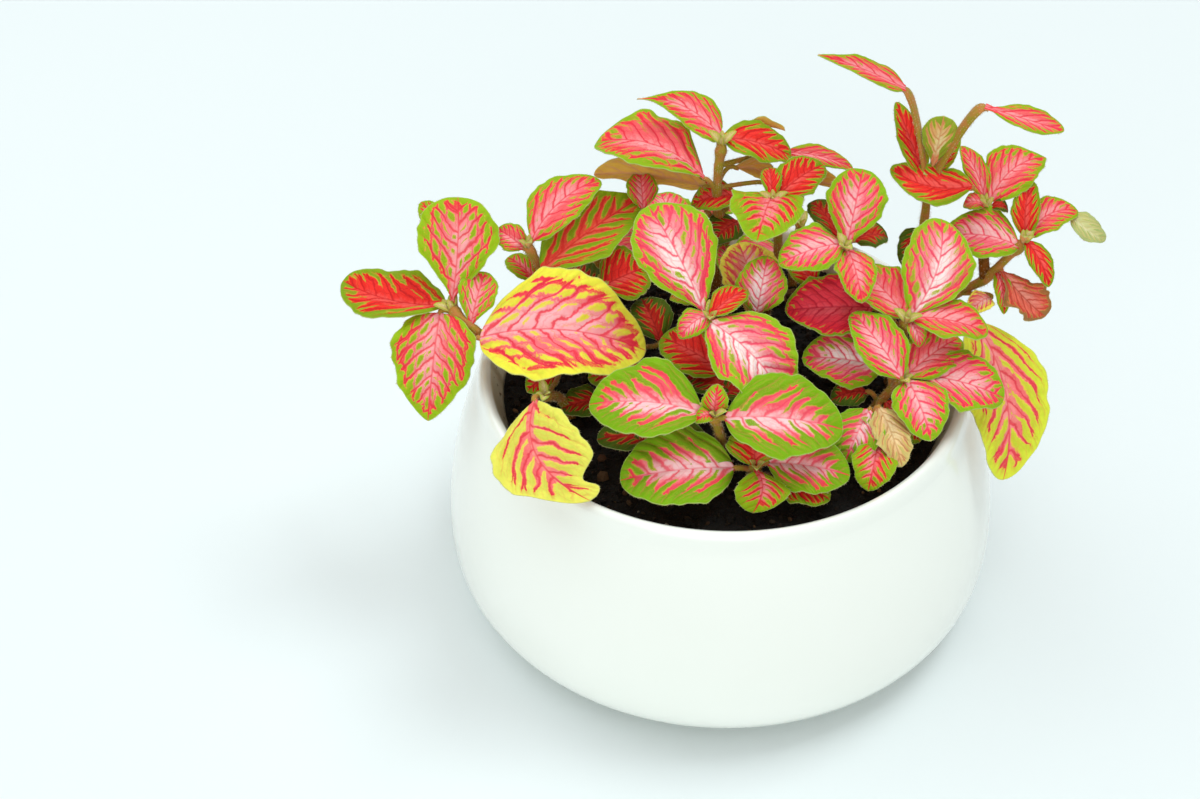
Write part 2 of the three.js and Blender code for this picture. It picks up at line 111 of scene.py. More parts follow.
# A stalk wider than this is a strap. The share of a stalk's or a strap's width that is left where
# its blade begins, and how quickly that narrows from there
WIDEST_STALK = 3
STALK_END = (0.45, 10)
STRAP_END = (0.24, 3)

# Blades: half their thickness, the grid they are built on with its fewest and most rows and columns
# and how much closer these are at the edges, and the least half width at their ends
BLADE_MIDDLE = 0.3
BLADE_EDGE = 0.1
GRID_STEP = 0.5
GRID_ROWS = (14, 84)
HALF_COLUMNS = (4, 32)
EDGE_CROWD = 1.2
LEAST_REACH = 0.12
# How far a blade's edges rise for its fold, its halves bulge and its edges wave, as shares of its
# reach, and how far it twists and its flesh bulges between veins, as shares of its width
CREASE = 0.22
BULGE = 0.07
EDGE_WAVE = 0.11
TWIST = 0.03
QUILT = 0.03
# The paces of the waves along its left edge and its right one, and of its twist
WAVE_PACES = (5, 13)
TWIST_PACE = 2.4
# The groove over the midrib and the rib under it: how deep and how wide
GROOVE = (0.12, 0.5)
RIB = (0.55, 0.55)
# Its outline swings in and out by these shares of its width, at these paces along its length
EDGE_SWINGS = (0.03, 0.022, 0.014)
EDGE_PACES = (17, 31, 53)
# Where along a blade the notch in its left edge is, and how long it is
NOTCH_PLACE = 0.84
NOTCH_LENGTH = 0.08
# How much more than others a drying leaf's edge waves, and how deep its folds are and how they
# follow each other, on each millimetre across and along the whole blade
CRUMPLED = {"dry": 3, "withered": 3}
CRUMPLE_FOLDS = 0.06
FOLD_PACES = (1.1, 11)

# Veins: pairs of side veins, by how many of them a side vein leans towards the tip on its way out,
# how it curves, how the number grows with half the leaf's width, how far one side is shifted from
# the other, how far a fork spreads from a side vein and how many cross veins there are on the way out
VEIN_PAIRS = 6.0
VEIN_LEAN = 2.9
VEIN_CURVE = 1.2
VEIN_CROWD = (0.75, 0.028)
VEIN_SHIFT = 0.3
VEIN_FORK = 0.46
CROSS_VEINS = 4.6
# How far a leaf's pale heart may lie beside its midrib, as a share of half its width
HEART_SHIFT = 0.14
# Near its base a leaf is coloured as if it were at least this share of its width wide
BASE_ROOM = 0.75
# The leaves' patterns are told apart by numbers below this
LEAF_NUMBERS = 97

# Hairs: their radius, how much they lean about, how many stand on a square millimetre of stem and
# of stalk and on a millimetre of leaf edge, and how long they are
HAIR_RADIUS = 0.055
HAIR_SCATTER = 0.35
STEM_HAIRS = 2.2
STALK_HAIRS = 1.54
EDGE_HAIRS = 1.6
LONGEST_STEM_HAIR = 1.0
LONGEST_STALK_HAIR = 0.7
EDGE_HAIR_LENGTHS = (0.25, 0.6)

# The unopened leaves at a stem's end, pair by pair: their length and how far they lean out
BUD_LEAVES = [(5.2, 0.9), (3.6, 0.45)]

# The slots of a shoot's materials
UPPER, UNDER, SKIN, HAIR = range(4)

# Lights: name, place, size, power and tint
COOL_LIGHT = (0.91, 0.99, 1.0)
LIGHTS = [
    ("overhead", (-0.3, 0.1, 1.5), 2.0, 10, COOL_LIGHT),
    ("from_right", (0.85, 0.35, 2.1), 1.0, 18.5, COOL_LIGHT),
    ("from_left", (-1.0, 0.7, 1.2), 1.2, 4.5, COOL_LIGHT),
    ("from_front", (-0.2, -1.2, 0.5), 1.0, 5.5, (0.95, 1.0, 0.98)),
]
LIGHTS_AIM = (0, 0, 0.06)
STUDIO_TINT = (1.0, 0.985, 0.955, 1)
STUDIO_STRENGTH = 0.42
FLOOR_SIZE = 8

# The picture's sight lines, from the eye
PICTURE_WIDTH = 1200
PICTURE_HEIGHT = 799
FOCAL_LENGTH = 1800
CAMERA_PITCH = math.radians(41.6)
CAMERA_ROLL = math.radians(-1.26)
EYE = np.array([-34.8, -384.97, 403.65])
SENSOR = 36

FORWARD = np.array([0, math.cos(CAMERA_PITCH), -math.sin(CAMERA_PITCH)])
LEVEL_RIGHT = np.array([1.0, 0, 0])
LEVEL_UP = np.cross(LEVEL_RIGHT, FORWARD)
RIGHT = math.cos(CAMERA_ROLL) * LEVEL_RIGHT + math.sin(CAMERA_ROLL) * LEVEL_UP
UP = math.cos(CAMERA_ROLL) * LEVEL_UP - math.sin(CAMERA_ROLL) * LEVEL_RIGHT


def seen(where):
    """The point at a given height that shows at a given place in the picture."""
    across, down, height = where
    ray = (
        FORWARD
        + RIGHT * (across - PICTURE_WIDTH / 2) / FOCAL_LENGTH
        + UP * (PICTURE_HEIGHT / 2 - down) / FOCAL_LENGTH
    )
    return EYE + ray * (height - EYE[2]) / ray[2]


def place(where):
    """A place is a point, or what the picture shows."""
    return where.copy() if isinstance(where, np.ndarray) else seen(where)


# How a leaf is coloured: its margin and the islands inside it, the flesh round the ends of its
# veins, the flesh nearer the middle, its pale heart and its vein lines. Then how far the heart
# spreads, how deep the plain margin is, how far in its colour reaches between the veins, how wide
# the flesh is along each vein and along each cross vein, and how strongly the vein lines show.
LEAF_COLOURS = ("edge", "tips", "flesh", "heart", "vein")
LOOKS = {
    "pink": ("#88B60A", "#F93640", "#FC7480", "#FCBEBE", "#F22C54", 0.42, 0.11, 0.75, 0.12, 0.12, 0.85),
    "fingered": ("#7CAE06", "#F8242E", "#FA5C6A", "#FCCCCE", "#F0405C", 0.4, 0.25, 0.7, 0.13, 0.05, 0.6),
    "blush": ("#90BA0E", "#F9424A", "#FC868E", "#FFE8E4", "#F23A60", 0.46, 0.07, 0.8, 0.12, 0.14, 0.85),
    "rose": ("#8CB40A", "#F73A42", "#FA646A", "#FBA4A6", "#EA2842", 0.36, 0.08, 0.7, 0.12, 0.12, 0.85),
    "crimson": ("#7CA00C", "#EA2438", "#F03E50", "#F4606E", "#C41A38", 0.3, 0.05, 0.5, 0.24, 0.2, 0.8),
    "red": ("#80A40A", "#EC1C12", "#F23028", "#F65C54", "#C4141A", 0.25, 0.12, 0.6, 0.12, 0.08, 0.75),
    # dark is partly the deep red of small leaves and partly painted shade: its dim green and red stand in
    # for the shade that leaves low among the others sit in.
    "dark": ("#446208", "#C0160C", "#CA2618", "#D63E30", "#8C100E", 0.2, 0.25, 0.6, 0.1, 0.05, 0.6),
    "speckled": ("#94BC10", "#F43E46", "#F9747A", "#FCAAAC", "#E62A3A", 0.45, 0.07, 1.2, 0.11, 0.15, 0.75),
    "striped": ("#84AC0A", "#EA3028", "#EE4C3C", "#F67258", "#DC2A26", 0.2, 0.1, 1.5, 0.12, 0.0, 0.7),
    "green": ("#8EB60A", "#EC2426", "#F64446", "#FA9094", "#DC2228", 0.4, 0.18, 0.9, 0.1, 0.08, 0.8),
    "golden": ("#FFF05A", "#F8524C", "#FC8680", "#FCC2BA", "#EE4854", 0.45, 0.12, 0.8, 0.12, 0.14, 0.75),
    "yellow": ("#F4EA44", "#F63040", "#FC7680", "#FEB6BA", "#EA2C44", 0.45, 0.08, 1.0, 0.1, 0.18, 0.85),
    "lemon": ("#EAE45C", "#EA3A44", "#F66C70", "#F88E88", "#DA2E40", 0.3, 0.14, 1.2, 0.07, 0.02, 0.8),
    "lime": ("#DEE63E", "#F03E4A", "#F87478", "#FA9C98", "#E23448", 0.3, 0.16, 1.0, 0.09, 0.04, 0.8),
    "pale": ("#B4C07A", "#C8C682", "#CCCC8C", "#DCD6A4", "#BEB672", 0.3, 0.1, 0.9, 0.1, 0.0, 0.4),
    "young": ("#8CA428", "#E08A60", "#DCA868", "#E8D8A0", "#C87A48", 0.5, 0.2, 0.6, 0.1, 0.0, 0.6),
    "olive": ("#C49A44", "#C8963E", "#CE9E48", "#D8AC60", "#B07430", 0.4, 0.1, 0.5, 0.1, 0.0, 0.6),
    "dry": ("#DAC278", "#D8946A", "#E6B87C", "#F2D4A0", "#B4743C", 0.5, 0.14, 0.8, 0.12, 0.05, 0.6),
    "withered": ("#A0703C", "#E0503F", "#EA705C", "#F09A88", "#BC3E2C", 0.3, 0.12, 0.5, 0.16, 0.1, 0.8),
    "sprout": ("#B0C240", "#CED05A", "#DAD278", "#EADFA4", "#D0985A", 0.4, 0.1, 0.5, 0.15, 0.0, 0.4),
}

# One blade: where its base and its tip show, its width and its look. tilt and heading lean its
# upper face away from straight up, heading 0 towards the viewer, 90 to the right and 180 away.
# arch lifts its middle, bend bows its midrib to its right, fold lifts its edges, fullest is where
# along it is widest, and taper and blunt are how pointed its base and its tip are. joint is how far
# up the stem its stalk leaves, stalk is the stalk's width, 0 for a blade that grows out of another,
# and notch is how deep its left edge is notched, as a share of its half width there.
PLAIN_BLADE = {
    "tilt": 20,
    "heading": 0,
    "arch": 2,
    "bend": 0,
    "fold": 1,
    "fullest": 0.45,
    "taper": 0.75,
    "blunt": 0.52,
    "joint": 0.96,
    "stalk": 1.6,
    "notch": 0,
}
# A long leaf that narrows to a flat strap instead of a stalk.
STRAP = {"taper": 1.1, "stalk": 4}


def blade(base, tip, width, look, **shape):
    return {"base": base, "tip": tip, "width": width, "look": look, **PLAIN_BLADE, **shape}


def stem(foot, through, blades):
    return {"foot": foot, "through": through, "blades": blades}


# The leafy stems of each shoot. A stem starts at its foot, a place across and back on the soil or a
# place in the picture on an earlier stem of the same shoot, and passes through the places given up
# to its tip.
SHOOTS = {
    "shoot_left": [stem((-50, 4), [(497, 345, 80), (475, 330, 88), (450, 308, 92)], [
        blade((452, 303, 93), (458, 197, 115), 23, "speckled", bend=1, fullest=0.64, taper=0.9, blunt=0.45),
        blade((445, 306, 92), (343, 281, 91), 21, "red", tilt=5, arch=0, bend=-3),
        blade((440, 313, 91), (428, 421, 70), 23, "speckled", fullest=0.36, taper=0.6, blunt=0.7),
        blade((471, 326, 89), (486, 272, 99), 11, "speckled", fullest=0.6, joint=0.8),
        blade((447, 240, 100), (421, 202, 107), 8, "green"),
        blade((480, 338, 88), (646, 351, 87), 34, "yellow", arch=6, bend=-1, taper=0.65, joint=0.72),
    ])],
    "shoot_front_left": [stem((-43, -14), [(560, 398, 77), (545, 396, 85)], [
        blade((535, 401, 87), (590, 501, 78), 25, "lemon", bend=7, fullest=0.56, taper=0.65, blunt=0.5,
              notch=0.5),
        blade((556, 374, 78), (527, 392, 77), 9, "red"),
        blade((604, 402, 73), (560, 410, 73), 10, "dark", joint=0.4),
        blade((650, 376, 78), (588, 378, 79), 13, "red", joint=0.5),
    ])],
    "shoot_back_left": [stem((-40, 18), [(548, 285, 90), (537, 262, 99), (527, 245, 105)], [
        blade((532, 240, 106), (600, 180, 116), 15, "rose", bend=-2),
        blade((542, 270, 99), (641, 198, 107), 20, "striped", blunt=0.7, joint=0.7),
        blade((524, 248, 104), (497, 229, 108), 8, "rose", tilt=40),
        blade((535, 281, 91), (507, 258, 94), 8, "green", joint=0.5),
    ])],
    "shoot_left_low": [stem((-26, 12), [(610, 320, 84), (603, 290, 91)], [
        blade((603, 287, 92), (648, 268, 94), 19, "red", arch=1),
        blade((660, 340, 83), (641, 299, 88), 12, "dark", joint=0.4),
        blade((592, 302, 90), (570, 268, 88), 13, "dark", joint=0.8),
    ])],
    "shoot_back": [stem((0, 34), [(720, 240, 93), (717, 185, 113), (722, 142, 125)], [
        blade((720, 136, 125), (637, 99, 134), 12, "rose", arch=0, bend=4, fullest=0.28,
              taper=0.6, blunt=1.5),
        blade((722, 138, 125), (791, 157, 118), 13, "red", blunt=0.42),
        blade((735, 134, 123), (785, 130, 123), 8, "rose", tilt=50, heading=180),
        blade((786, 153, 115), (853, 169, 111), 7, "rose", joint=0.9),
        blade((735, 167, 116), (774, 182, 111), 10, "dark", tilt=60, heading=180, joint=0.8),
        blade((765, 182, 112), (842, 188, 108), 13, "dark", tilt=60, heading=180, joint=0.8),
        blade((704, 178, 116), (596, 143, 121), 24, "rose", tilt=5, arch=4, bend=2, fullest=0.55,
              blunt=0.45, joint=0.72),
        blade((706, 186, 111), (594, 174, 114), 17, "olive", tilt=70, heading=180, joint=0.68),
        blade((643, 208, 107), (640, 172, 113), 9, "rose", joint=0.6),
        blade((738, 196, 109), (691, 206, 106), 10, "red", joint=0.66),
        blade((706, 206, 105), (706, 178, 112), 5, "green", joint=0.62),
        blade((738, 222, 100), (713, 243, 97), 11, "dark", joint=0.45),
    ])],
    "shoot_back_centre": [stem((14, 26), [(778, 250, 96), (773, 201, 115)], [
        blade((772, 197, 115), (757, 242, 116), 20, "green", tilt=5, fullest=0.42, taper=0.4),
        blade((776, 198, 115), (824, 165, 120), 13, "red"),
        blade((772, 197, 116), (769, 168, 119), 6, "red"),
    ])],
    "shoot_centre": [stem((-1, -7), [(720, 370, 80), (712, 335, 93), (710, 318, 100)], [
        blade((704, 312, 100), (648, 206, 120), 23, "blush", fullest=0.6, arch=3),
        blade((710, 322, 100), (786, 403, 85), 24, "blush", arch=3, bend=-1),
        blade((708, 315, 100), (679, 338, 97), 8, "pink"),
        blade((710, 316, 101), (747, 291, 103), 8, "red"),
        blade((722, 372, 80), (661, 338, 85), 17, "red", joint=0.4),
        blade((735, 387, 77), (683, 379, 77), 11, "dark", joint=0.3),
        blade((722, 396, 76), (748, 389, 76), 8, "dark", joint=0.25),
        blade((700, 300, 95), (670, 298, 94), 7, "green", joint=0.8),
    ])],
    "shoot_centre_back": [stem((12, 4), [(760, 345, 80), (757, 312, 93)], [
        blade((757, 312, 95), (768, 256, 107), 14, "blush"),
        blade((757, 302, 92), (738, 243, 101), 17, "golden"),
        blade((735, 282, 88), (722, 245, 94), 8, "pink", joint=0.8),
    ])],
    "shoot_right_back": [stem((30, 12), [(842, 288, 90), (845, 248, 112)], [
        blade((847, 246, 112), (863, 169, 128), 16, "pink", fullest=0.6, blunt=0.45),
        blade((842, 244, 112), (779, 265, 110), 14, "pink"),
        blade((848, 250, 111), (862, 303, 105), 11, "rose"),
        blade((838, 236, 107), (811, 202, 110), 9, "dark", joint=0.9),
        blade((855, 240, 108), (888, 238, 108), 9, "dark", joint=0.9),
        blade((815, 286, 95), (789, 261, 98), 9, "red", joint=0.6),
    ])],
    "shoot_right": [stem((47, -2), [(907, 320, 98)], [
        blade((906, 318, 98), (857, 268, 103), 14, "rose"),
        blade((911, 316, 98), (941, 219, 116), 19, "blush", bend=3, fullest=0.54),
        blade((912, 318, 98), (988, 334, 96), 14, "rose", tilt=10),
        blade((910, 322, 97), (920, 347, 93), 5, "pink"),
        blade((872, 308, 94), (785, 311, 95), 19, "crimson", arch=1, joint=0.85),
    ])],
    "shoot_front_right": [stem((37, -20), [(885, 396, 78), (903, 380, 86)], [
        blade((901, 378, 88), (852, 313, 99), 14, "pink"),
        blade((905, 377, 86), (959, 338, 89), 14, "rose"),
        blade((908, 381, 86), (931, 441, 80), 15, "pink"),
        blade((925, 376, 86), (1004, 399, 82), 19, "pink", tilt=25, heading=30),
        blade((881, 368, 82), (802, 358, 84), 19, "blush", joint=0.8),
        blade((866, 392, 79), (831, 401, 78), 9, "dark", joint=0.6),
    ])],
    "shoot_front": [stem((-2, -30), [(720, 435, 79), (714, 415, 88)], [
        blade((702, 412, 88), (589, 405, 88), 24, "fingered", tilt=15, arch=3),
        blade((725, 418, 88), (843, 430, 86), 25, "fingered", tilt=20, arch=3),
        blade((714, 413, 88), (718, 384, 95), 7, "green"),
        blade((712, 417, 88), (695, 422, 88), 5, "green"),
        blade((714, 453, 75), (632, 441, 76), 14, "dark", joint=0.4),
        blade((690, 433, 74), (597, 440, 75), 14, "dark", joint=0.3),
    ])],
    "shoot_front_low": [stem((5, -40), [(756, 466, 76)], [
        blade((734, 468, 75), (620, 481, 74), 25, "fingered", tilt=15, joint=0.8),
        blade((755, 466, 76), (752, 426, 82), 15, "red"),
        blade((756, 470, 76), (753, 513, 71), 14, "green", bend=-2, fullest=0.6),
        blade((768, 463, 76), (850, 476, 75), 18, "fingered"),
        blade((778, 481, 72), (830, 500, 71), 12, "red", joint=0.8),
    ])],
    "shoot_front_edge": [stem((35, -34), [(872, 425, 78)], [
        blade((869, 410, 81), (845, 462, 73), 14, "fingered"),
        blade((878, 444, 77), (868, 491, 71), 12, "green"),
        blade((879, 408, 82), (902, 467, 75), 10, "dry"),
        blade((886, 402, 77), (920, 442, 71), 13, "red", arch=1),
    ])],
    "shoot_tall": [stem((46, 12), [(915, 260, 98), (925, 215, 108), (928, 178, 118)], [
        blade((905, 89, 145), (818, 55, 157), 8, "rose", arch=0, bend=1, fullest=0.33,
              blunt=0.9, **STRAP),
        blade((985, 107, 142), (1064, 131, 139), 8, "rose", arch=1, bend=1, fullest=0.56, **STRAP),
        blade((924, 176, 119), (896, 102, 137), 8, "red", bend=-1),
        blade((931, 174, 119), (944, 116, 136), 10, "young", fullest=0.75, taper=1, blunt=0.4),
        blade((935, 173, 119), (959, 134, 129), 7, "red"),
        blade((972, 187, 119), (890, 169, 121), 14, "red", arch=0, bend=-3),
        blade((925, 230, 104), (902, 265, 99), 9, "dark", joint=0.6),
    ])],
    "shoot_right_edge": [stem((53, 0), [(945, 302, 84), (985, 279, 93), (1003, 262, 99), (1024, 241, 105)], [
        blade((1025, 237, 105), (1031, 180, 117), 8, "red", bend=-1),
        blade((1028, 236, 105), (1078, 211, 110), 11, "rose", bend=-2),
        blade((1071, 215, 109), (1105, 241, 104), 8, "pale", bend=2, stalk=0),
        blade((1026, 241, 105), (1049, 287, 97), 7, "red"),
        blade((1019, 247, 104), (942, 238, 104), 17, "pink", bend=1, joint=0.95),
        blade((1001, 270, 97), (1045, 317, 88), 12, "withered", bend=2, fullest=0.6, joint=0.8),
        blade((998, 272, 96), (1004, 314, 90), 5, "green", joint=0.75),
        blade((990, 298, 91), (968, 314, 90), 7, "golden", joint=0.6),
        blade((975, 322, 87), (1003, 480, 58), 25, "lime", tilt=35, heading=30, arch=4, bend=-3, joint=0.5),
    ]), stem((985, 279, 93), [(983, 240, 102), (986, 205, 111)], [
        blade((984, 198, 112), (961, 146, 123), 7, "rose"),
        blade((990, 200, 112), (1046, 158, 119), 15, "rose", arch=3, bend=-2, fullest=0.42, blunt=0.8),
        blade((985, 206, 111), (963, 206, 110), 6, "rose"),
        blade((990, 207, 111), (1008, 212, 110), 4, "dark"),
    ])],
}


# Low growth at the back, behind what the picture shows: short stems with crossed pairs of leaves
REAR_STALK = 4
REAR_RISE = 2
REAR_SHRINK = 0.18
REAR_SLENDERNESS = 0.72
REAR_LOOKS = ["pink", "rose", "blush"]


def rear_shoot(foot, tip, heights, turn, grow):
    """heights are those of the pairs, turn is the first pair's heading and grow its blades' length."""
    top = np.array(tip, float)
    bottom = np.array([*foot, SOIL_EDGE_HEIGHT], float)
    blades = []
    for pair, height in enumerate(heights):
        rise = (height - bottom[2]) / (top[2] - bottom[2])
        node = bottom + (top - bottom) * rise
        size = grow * (1 - REAR_SHRINK * pair)
        for side in (0, 180):
            heading = math.radians(turn + 90 * pair + side)
            out = np.array([math.cos(heading), math.sin(heading), 0])
            base = node + out * REAR_STALK
            base[2] = height + REAR_RISE
            end = base + out * size
            end[2] = height + 2 * REAR_RISE - pair
            look = REAR_LOOKS[pair % len(REAR_LOOKS)]
            joint = PLAIN_BLADE["joint"] * rise
            blades.append(blade(base, end, REAR_SLENDERNESS * size, look, tilt=0, joint=joint))
    return [stem(foot, [top], blades)]


SHOOTS["shoot_rear_left"] = rear_shoot((-31, 37), (-37, 43, 91), [77, 84, 91], turn=60, grow=16)
SHOOTS["shoot_rear"] = rear_shoot((-9, 48), (-12, 52, 86), [77, 85], turn=100, grow=20)
SHOOTS["shoot_rear_right"] = rear_shoot((24, 43), (26, 50, 85), [76, 84], turn=20, grow=19)


def unit(vectors):
    return vectors / np.linalg.norm(vectors, axis=-1, keepdims=True)


def smooth(values, low, high):
    """0 below low, 1 above high, and an even turn between them."""
    share = np.clip((values - low) / (high - low), 0, 1)
    return share * share * (3 - 2 * share)


def hump(away, height, length):
    """A rounded hump's height at a distance from its middle."""
    return height * np.exp(-((away / length) ** 2))


def ripple(points, size, seed, waves=7):
    """Smooth noise from about -1 to 1 over points, with bumps of about the given size."""
    random = np.random.default_rng(seed)
    total = np.zeros(points.shape[:-1])
    for _ in range(waves):
        direction = unit(random.normal(size=points.shape[-1]))
        length = size * random.uniform(0.7, 1.8)
        total += np.sin(points @ direction * 2 * math.pi / length + random.uniform(0, 2 * math.pi))
    return total / math.sqrt(waves)


def linear(code):
    """The linear values of a colour written as #RRGGBB."""
    values = np.array([int(code[i:i + 2], 16) / 255 for i in (1, 3, 5)])
    return np.where(values <= 0.04045, values / 12.92, ((values + 0.055) / 1.055) ** 2.4)


class Body:
    """Gathers shells of points and faces, with their values for the materials, into one mesh."""

    def __init__(self):
        self.points = []
        self.faces = []
        self.materials = []
        self.values = {}
        self.count = 0

    def add(self, points, faces, materials, **values):
        """faces is a list of arrays of equal faces, and materials gives the slot of each array or
        of them all. A value holds for each point or for them all."""
        for group, material in zip(faces, np.broadcast_to(materials, len(faces))):
            self.faces.append(group + self.count)
            self.materials.append(np.full(len(group), material))
        for key, value in values.items():
            rows = np.broadcast_to(value, (len(points), 3))
            self.values.setdefault(key, []).append((self.count, rows))
        self.points.append(points)
        self.count += len(points)

    def build(self, name, materials, soft=True):
        mesh = bpy.data.meshes.new(name)
        mesh.vertices.add(self.count)
        mesh.vertices.foreach_set("co", (np.concatenate(self.points) * MM).ravel())
        sizes = np.concatenate([np.full(len(group), group.shape[1]) for group in self.faces])
        loops = np.concatenate([group.ravel() for group in self.faces])
        mesh.loops.add(len(loops))
        mesh.loops.foreach_set("vertex_index", loops.astype(np.int32))
        mesh.polygons.add(len(sizes))
        mesh.polygons.foreach_set("loop_start", (np.cumsum(sizes) - sizes).astype(np.int32))
        mesh.polygons.foreach_set("material_index", np.concatenate(self.materials).astype(np.int32))
        mesh.polygons.foreach_set("use_smooth", np.full(len(sizes), soft))
        for key, blocks in self.values.items():
            whole = np.zeros((self.count, 3))
            for start, rows in blocks:
                whole[start:start + len(rows)] = rows
            mesh.attributes.new(key, "FLOAT_VECTOR", "POINT").data.foreach_set("vector", whole.ravel())
        mesh.update()
        mesh.validate()
        piece = bpy.data.objects.new(name, mesh)
        bpy.context.scene.collection.objects.link(piece)
        for material in materials:
            mesh.materials.append(material)
        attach(piece, "root")
        return piece


def ring_faces(rings, sides):
    """The quads of a tube of rings, and its two ends."""
    start = np.arange(rings - 1)[:, None] * sides
    side = np.arange(sides)[None, :]
    after = (side + 1) % sides
    quads = np.stack([start + side, start + after, start + after + sides, start + side + sides], -1)
    ends = np.arange(sides)
    return [quads.reshape(-1, 4), ends[::-1][None, :], (ends + (rings - 1) * sides)[None, :]]


def turned(outline, sides):
    """Turns an outline of (radius, height) about the pot's axis. It starts and ends on the axis."""
    outline = np.array(outline, float)
    angle = np.linspace(0, 2 * math.pi, sides, endpoint=False)
    inner = outline[1:-1]
    rings = np.stack([
        inner[:, None, 0] * np.cos(angle),
        inner[:, None, 0] * np.sin(angle),
        np.broadcast_to(inner[:, None, 1], (len(inner), sides)),
    ], -1).reshape(-1, 3)
    points = np.vstack([rings, [0, 0, outline[0, 1]], [0, 0, outline[-1, 1]]])
    side = np.arange(sides)
    after = (side + 1) % sides
    first, last = len(rings), len(rings) + 1
    top = (len(inner) - 1) * sides
    bottom_fan = np.stack([np.full(sides, first), after, side], -1)
    top_fan = np.stack([np.full(sides, last), top + side, top + after], -1)
    return points, [ring_faces(len(inner), sides)[0], bottom_fan, top_fan]


def outer_radius(height):
    """Radius of the pot's outside at a height."""
    if height < BELLY_HEIGHT:
        drop = 1 - height / BELLY_HEIGHT
        bulge = (1 - drop ** LOWER_ROUNDNESS) ** (1 / LOWER_ROUNDNESS)
        return FOOT_RADIUS + (BELLY_RADIUS - FOOT_RADIUS) * bulge
    rise = (height - BELLY_HEIGHT) / (RIM_HEIGHT - BELLY_HEIGHT)
    return BELLY_RADIUS - (BELLY_RADIUS - RIM_RADIUS) * rise ** UPPER_ROUNDNESS


def inner_radius(height):
    return outer_radius(height) - WALL


SOIL_RADIUS = inner_radius(SOIL_EDGE_HEIGHT)


def spline(points, steps, evenness):
    """A smooth curve through the points given, with steps between each two. The higher evenness is,
    the less it swings out where they are unevenly spaced."""
    points = np.array(points, float)
    padded = np.vstack([2 * points[0] - points[1], points, 2 * points[-1] - points[-2]])
    t = np.linspace(0, 1, steps + 1)[1:, None]
    curve = [points[:1]]
    for a, b, c, d in zip(padded, padded[1:], padded[2:], padded[3:]):
        before, here, after = (np.linalg.norm(v) ** evenness for v in (b - a, c - b, d - c))
        start = (b - a) / before - (c - a) / (before + here) + (c - b) / here
        end = (c - b) / here - (d - b) / (here + after) + (d - c) / after
        start, end = start * here, end * here
        curve.append(b + start * t + (3 * (c - b) - 2 * start - end) * t ** 2
                     + (2 * (b - c) + start + end) * t ** 3)
    return np.concatenate(curve)


def pot_outline():
    """Half the pot's section, from the middle of its foot up over its rim and down to its floor."""
    lower = [
        BELLY_HEIGHT * (1 - math.cos(math.pi / 2 * step / LOWER_STEPS))
        for step in range(LOWER_STEPS + 1)
    ]
    upper = [
        BELLY_HEIGHT + (SHOULDER_HEIGHT - BELLY_HEIGHT) * step / UPPER_STEPS
        for step in range(1, UPPER_STEPS + 1)
    ]
    outside = [(outer_radius(height), height) for height in lower + upper]
    inside = [(inner_radius(height), height) for height in INNER_HEIGHTS]
    rim = spline([outside[-1], *RIM_OUTLINE, inside[0]], RIM_STEPS, 0)[1:-1]
    floor = spline([inside[-1], *FLOOR_OUTLINE], RIM_STEPS, 0)[1:]
    foot = [(0, 0), (FOOT_RADIUS - FOOT_EDGE, 0)]
    return [*foot, *outside[1:], *rim, *inside, *floor, (0, POT_FLOOR)]


def make_pot(glaze):
    body = Body()
    points, faces = turned(pot_outline(), POT_SIDES)
    body.add(points, faces, 0)
    piece = body.build("glazed_pot", [glaze])
    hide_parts("pot")


def soil_height(x, y):
    """Height of the lumpy soil at a place."""
    share = np.clip(np.hypot(x, y) / SOIL_RADIUS, 0, 1)
    flat = SOIL_EDGE_HEIGHT + SOIL_MOUND * (1 - share ** 3)
    spots = np.stack([x, y], -1)
    lump = sum(part * ripple(spots, length, seed) for length, part, seed in LUMPS)
    return flat + SOIL_LUMP * lump * smooth(1 - share, 0, 0.04)


def strew(body, random, count, sizes, tones, material):
    """Strews angular grains over the soil's top."""
    seed_points, seed_faces = icosahedron()
    radius = (SOIL_RADIUS - SOIL_MARGIN) * np.sqrt(random.uniform(0, 1, count))
    angle = random.uniform(0, 2 * math.pi, count)
    x, y = radius * np.cos(angle), radius * np.sin(angle)
    size = np.exp(random.uniform(math.log(sizes[0]), math.log(sizes[1]), count))
    stretch = random.uniform(*GRAIN_STRETCH, (count, 1, 3))
    jitter = random.uniform(*GRAIN_JITTER, (count, len(seed_points), 1))
    turns = random.normal(size=(count, 4))
    grains = seed_points[None] * stretch * jitter * size[:, None, None]
    grains = np.stack([rotated(grain, turn) for grain, turn in zip(grains, turns)])
    centres = np.stack([x, y, soil_height(x, y) + GRAIN_RISE * size], -1)
    points = (grains + centres[:, None]).reshape(-1, 3)
    starts = np.arange(count)[:, None, None] * len(seed_points)
    faces = (seed_faces[None] + starts).reshape(-1, 3)
    tone, hue = random.uniform(*tones, count), random.uniform(0, 1, count)
    value = np.stack([tone, hue, np.zeros(count)], -1)
    body.add(points, [faces], material, grain=np.repeat(value, len(seed_points), 0))


def icosahedron():
    golden = (1 + math.sqrt(5)) / 2
    corners = [(-1, golden, 0), (1, golden, 0), (-1, -golden, 0), (1, -golden, 0)]
    points = [(corner[-turn % 3], corner[(1 - turn) % 3], corner[(2 - turn) % 3])
              for turn in range(3) for corner in corners]
    points = unit(np.array(points))
    faces = []
    for a, b, c in itertools.combinations(range(len(points)), 3):
        sides = [np.linalg.norm(points[i] - points[j]) for i, j in ((a, b), (b, c), (a, c))]
        if max(sides) < 1.1:
            out = np.linalg.det(points[[a, b, c]]) > 0
            faces.append((a, b, c) if out else (a, c, b))
    return points, np.array(faces)


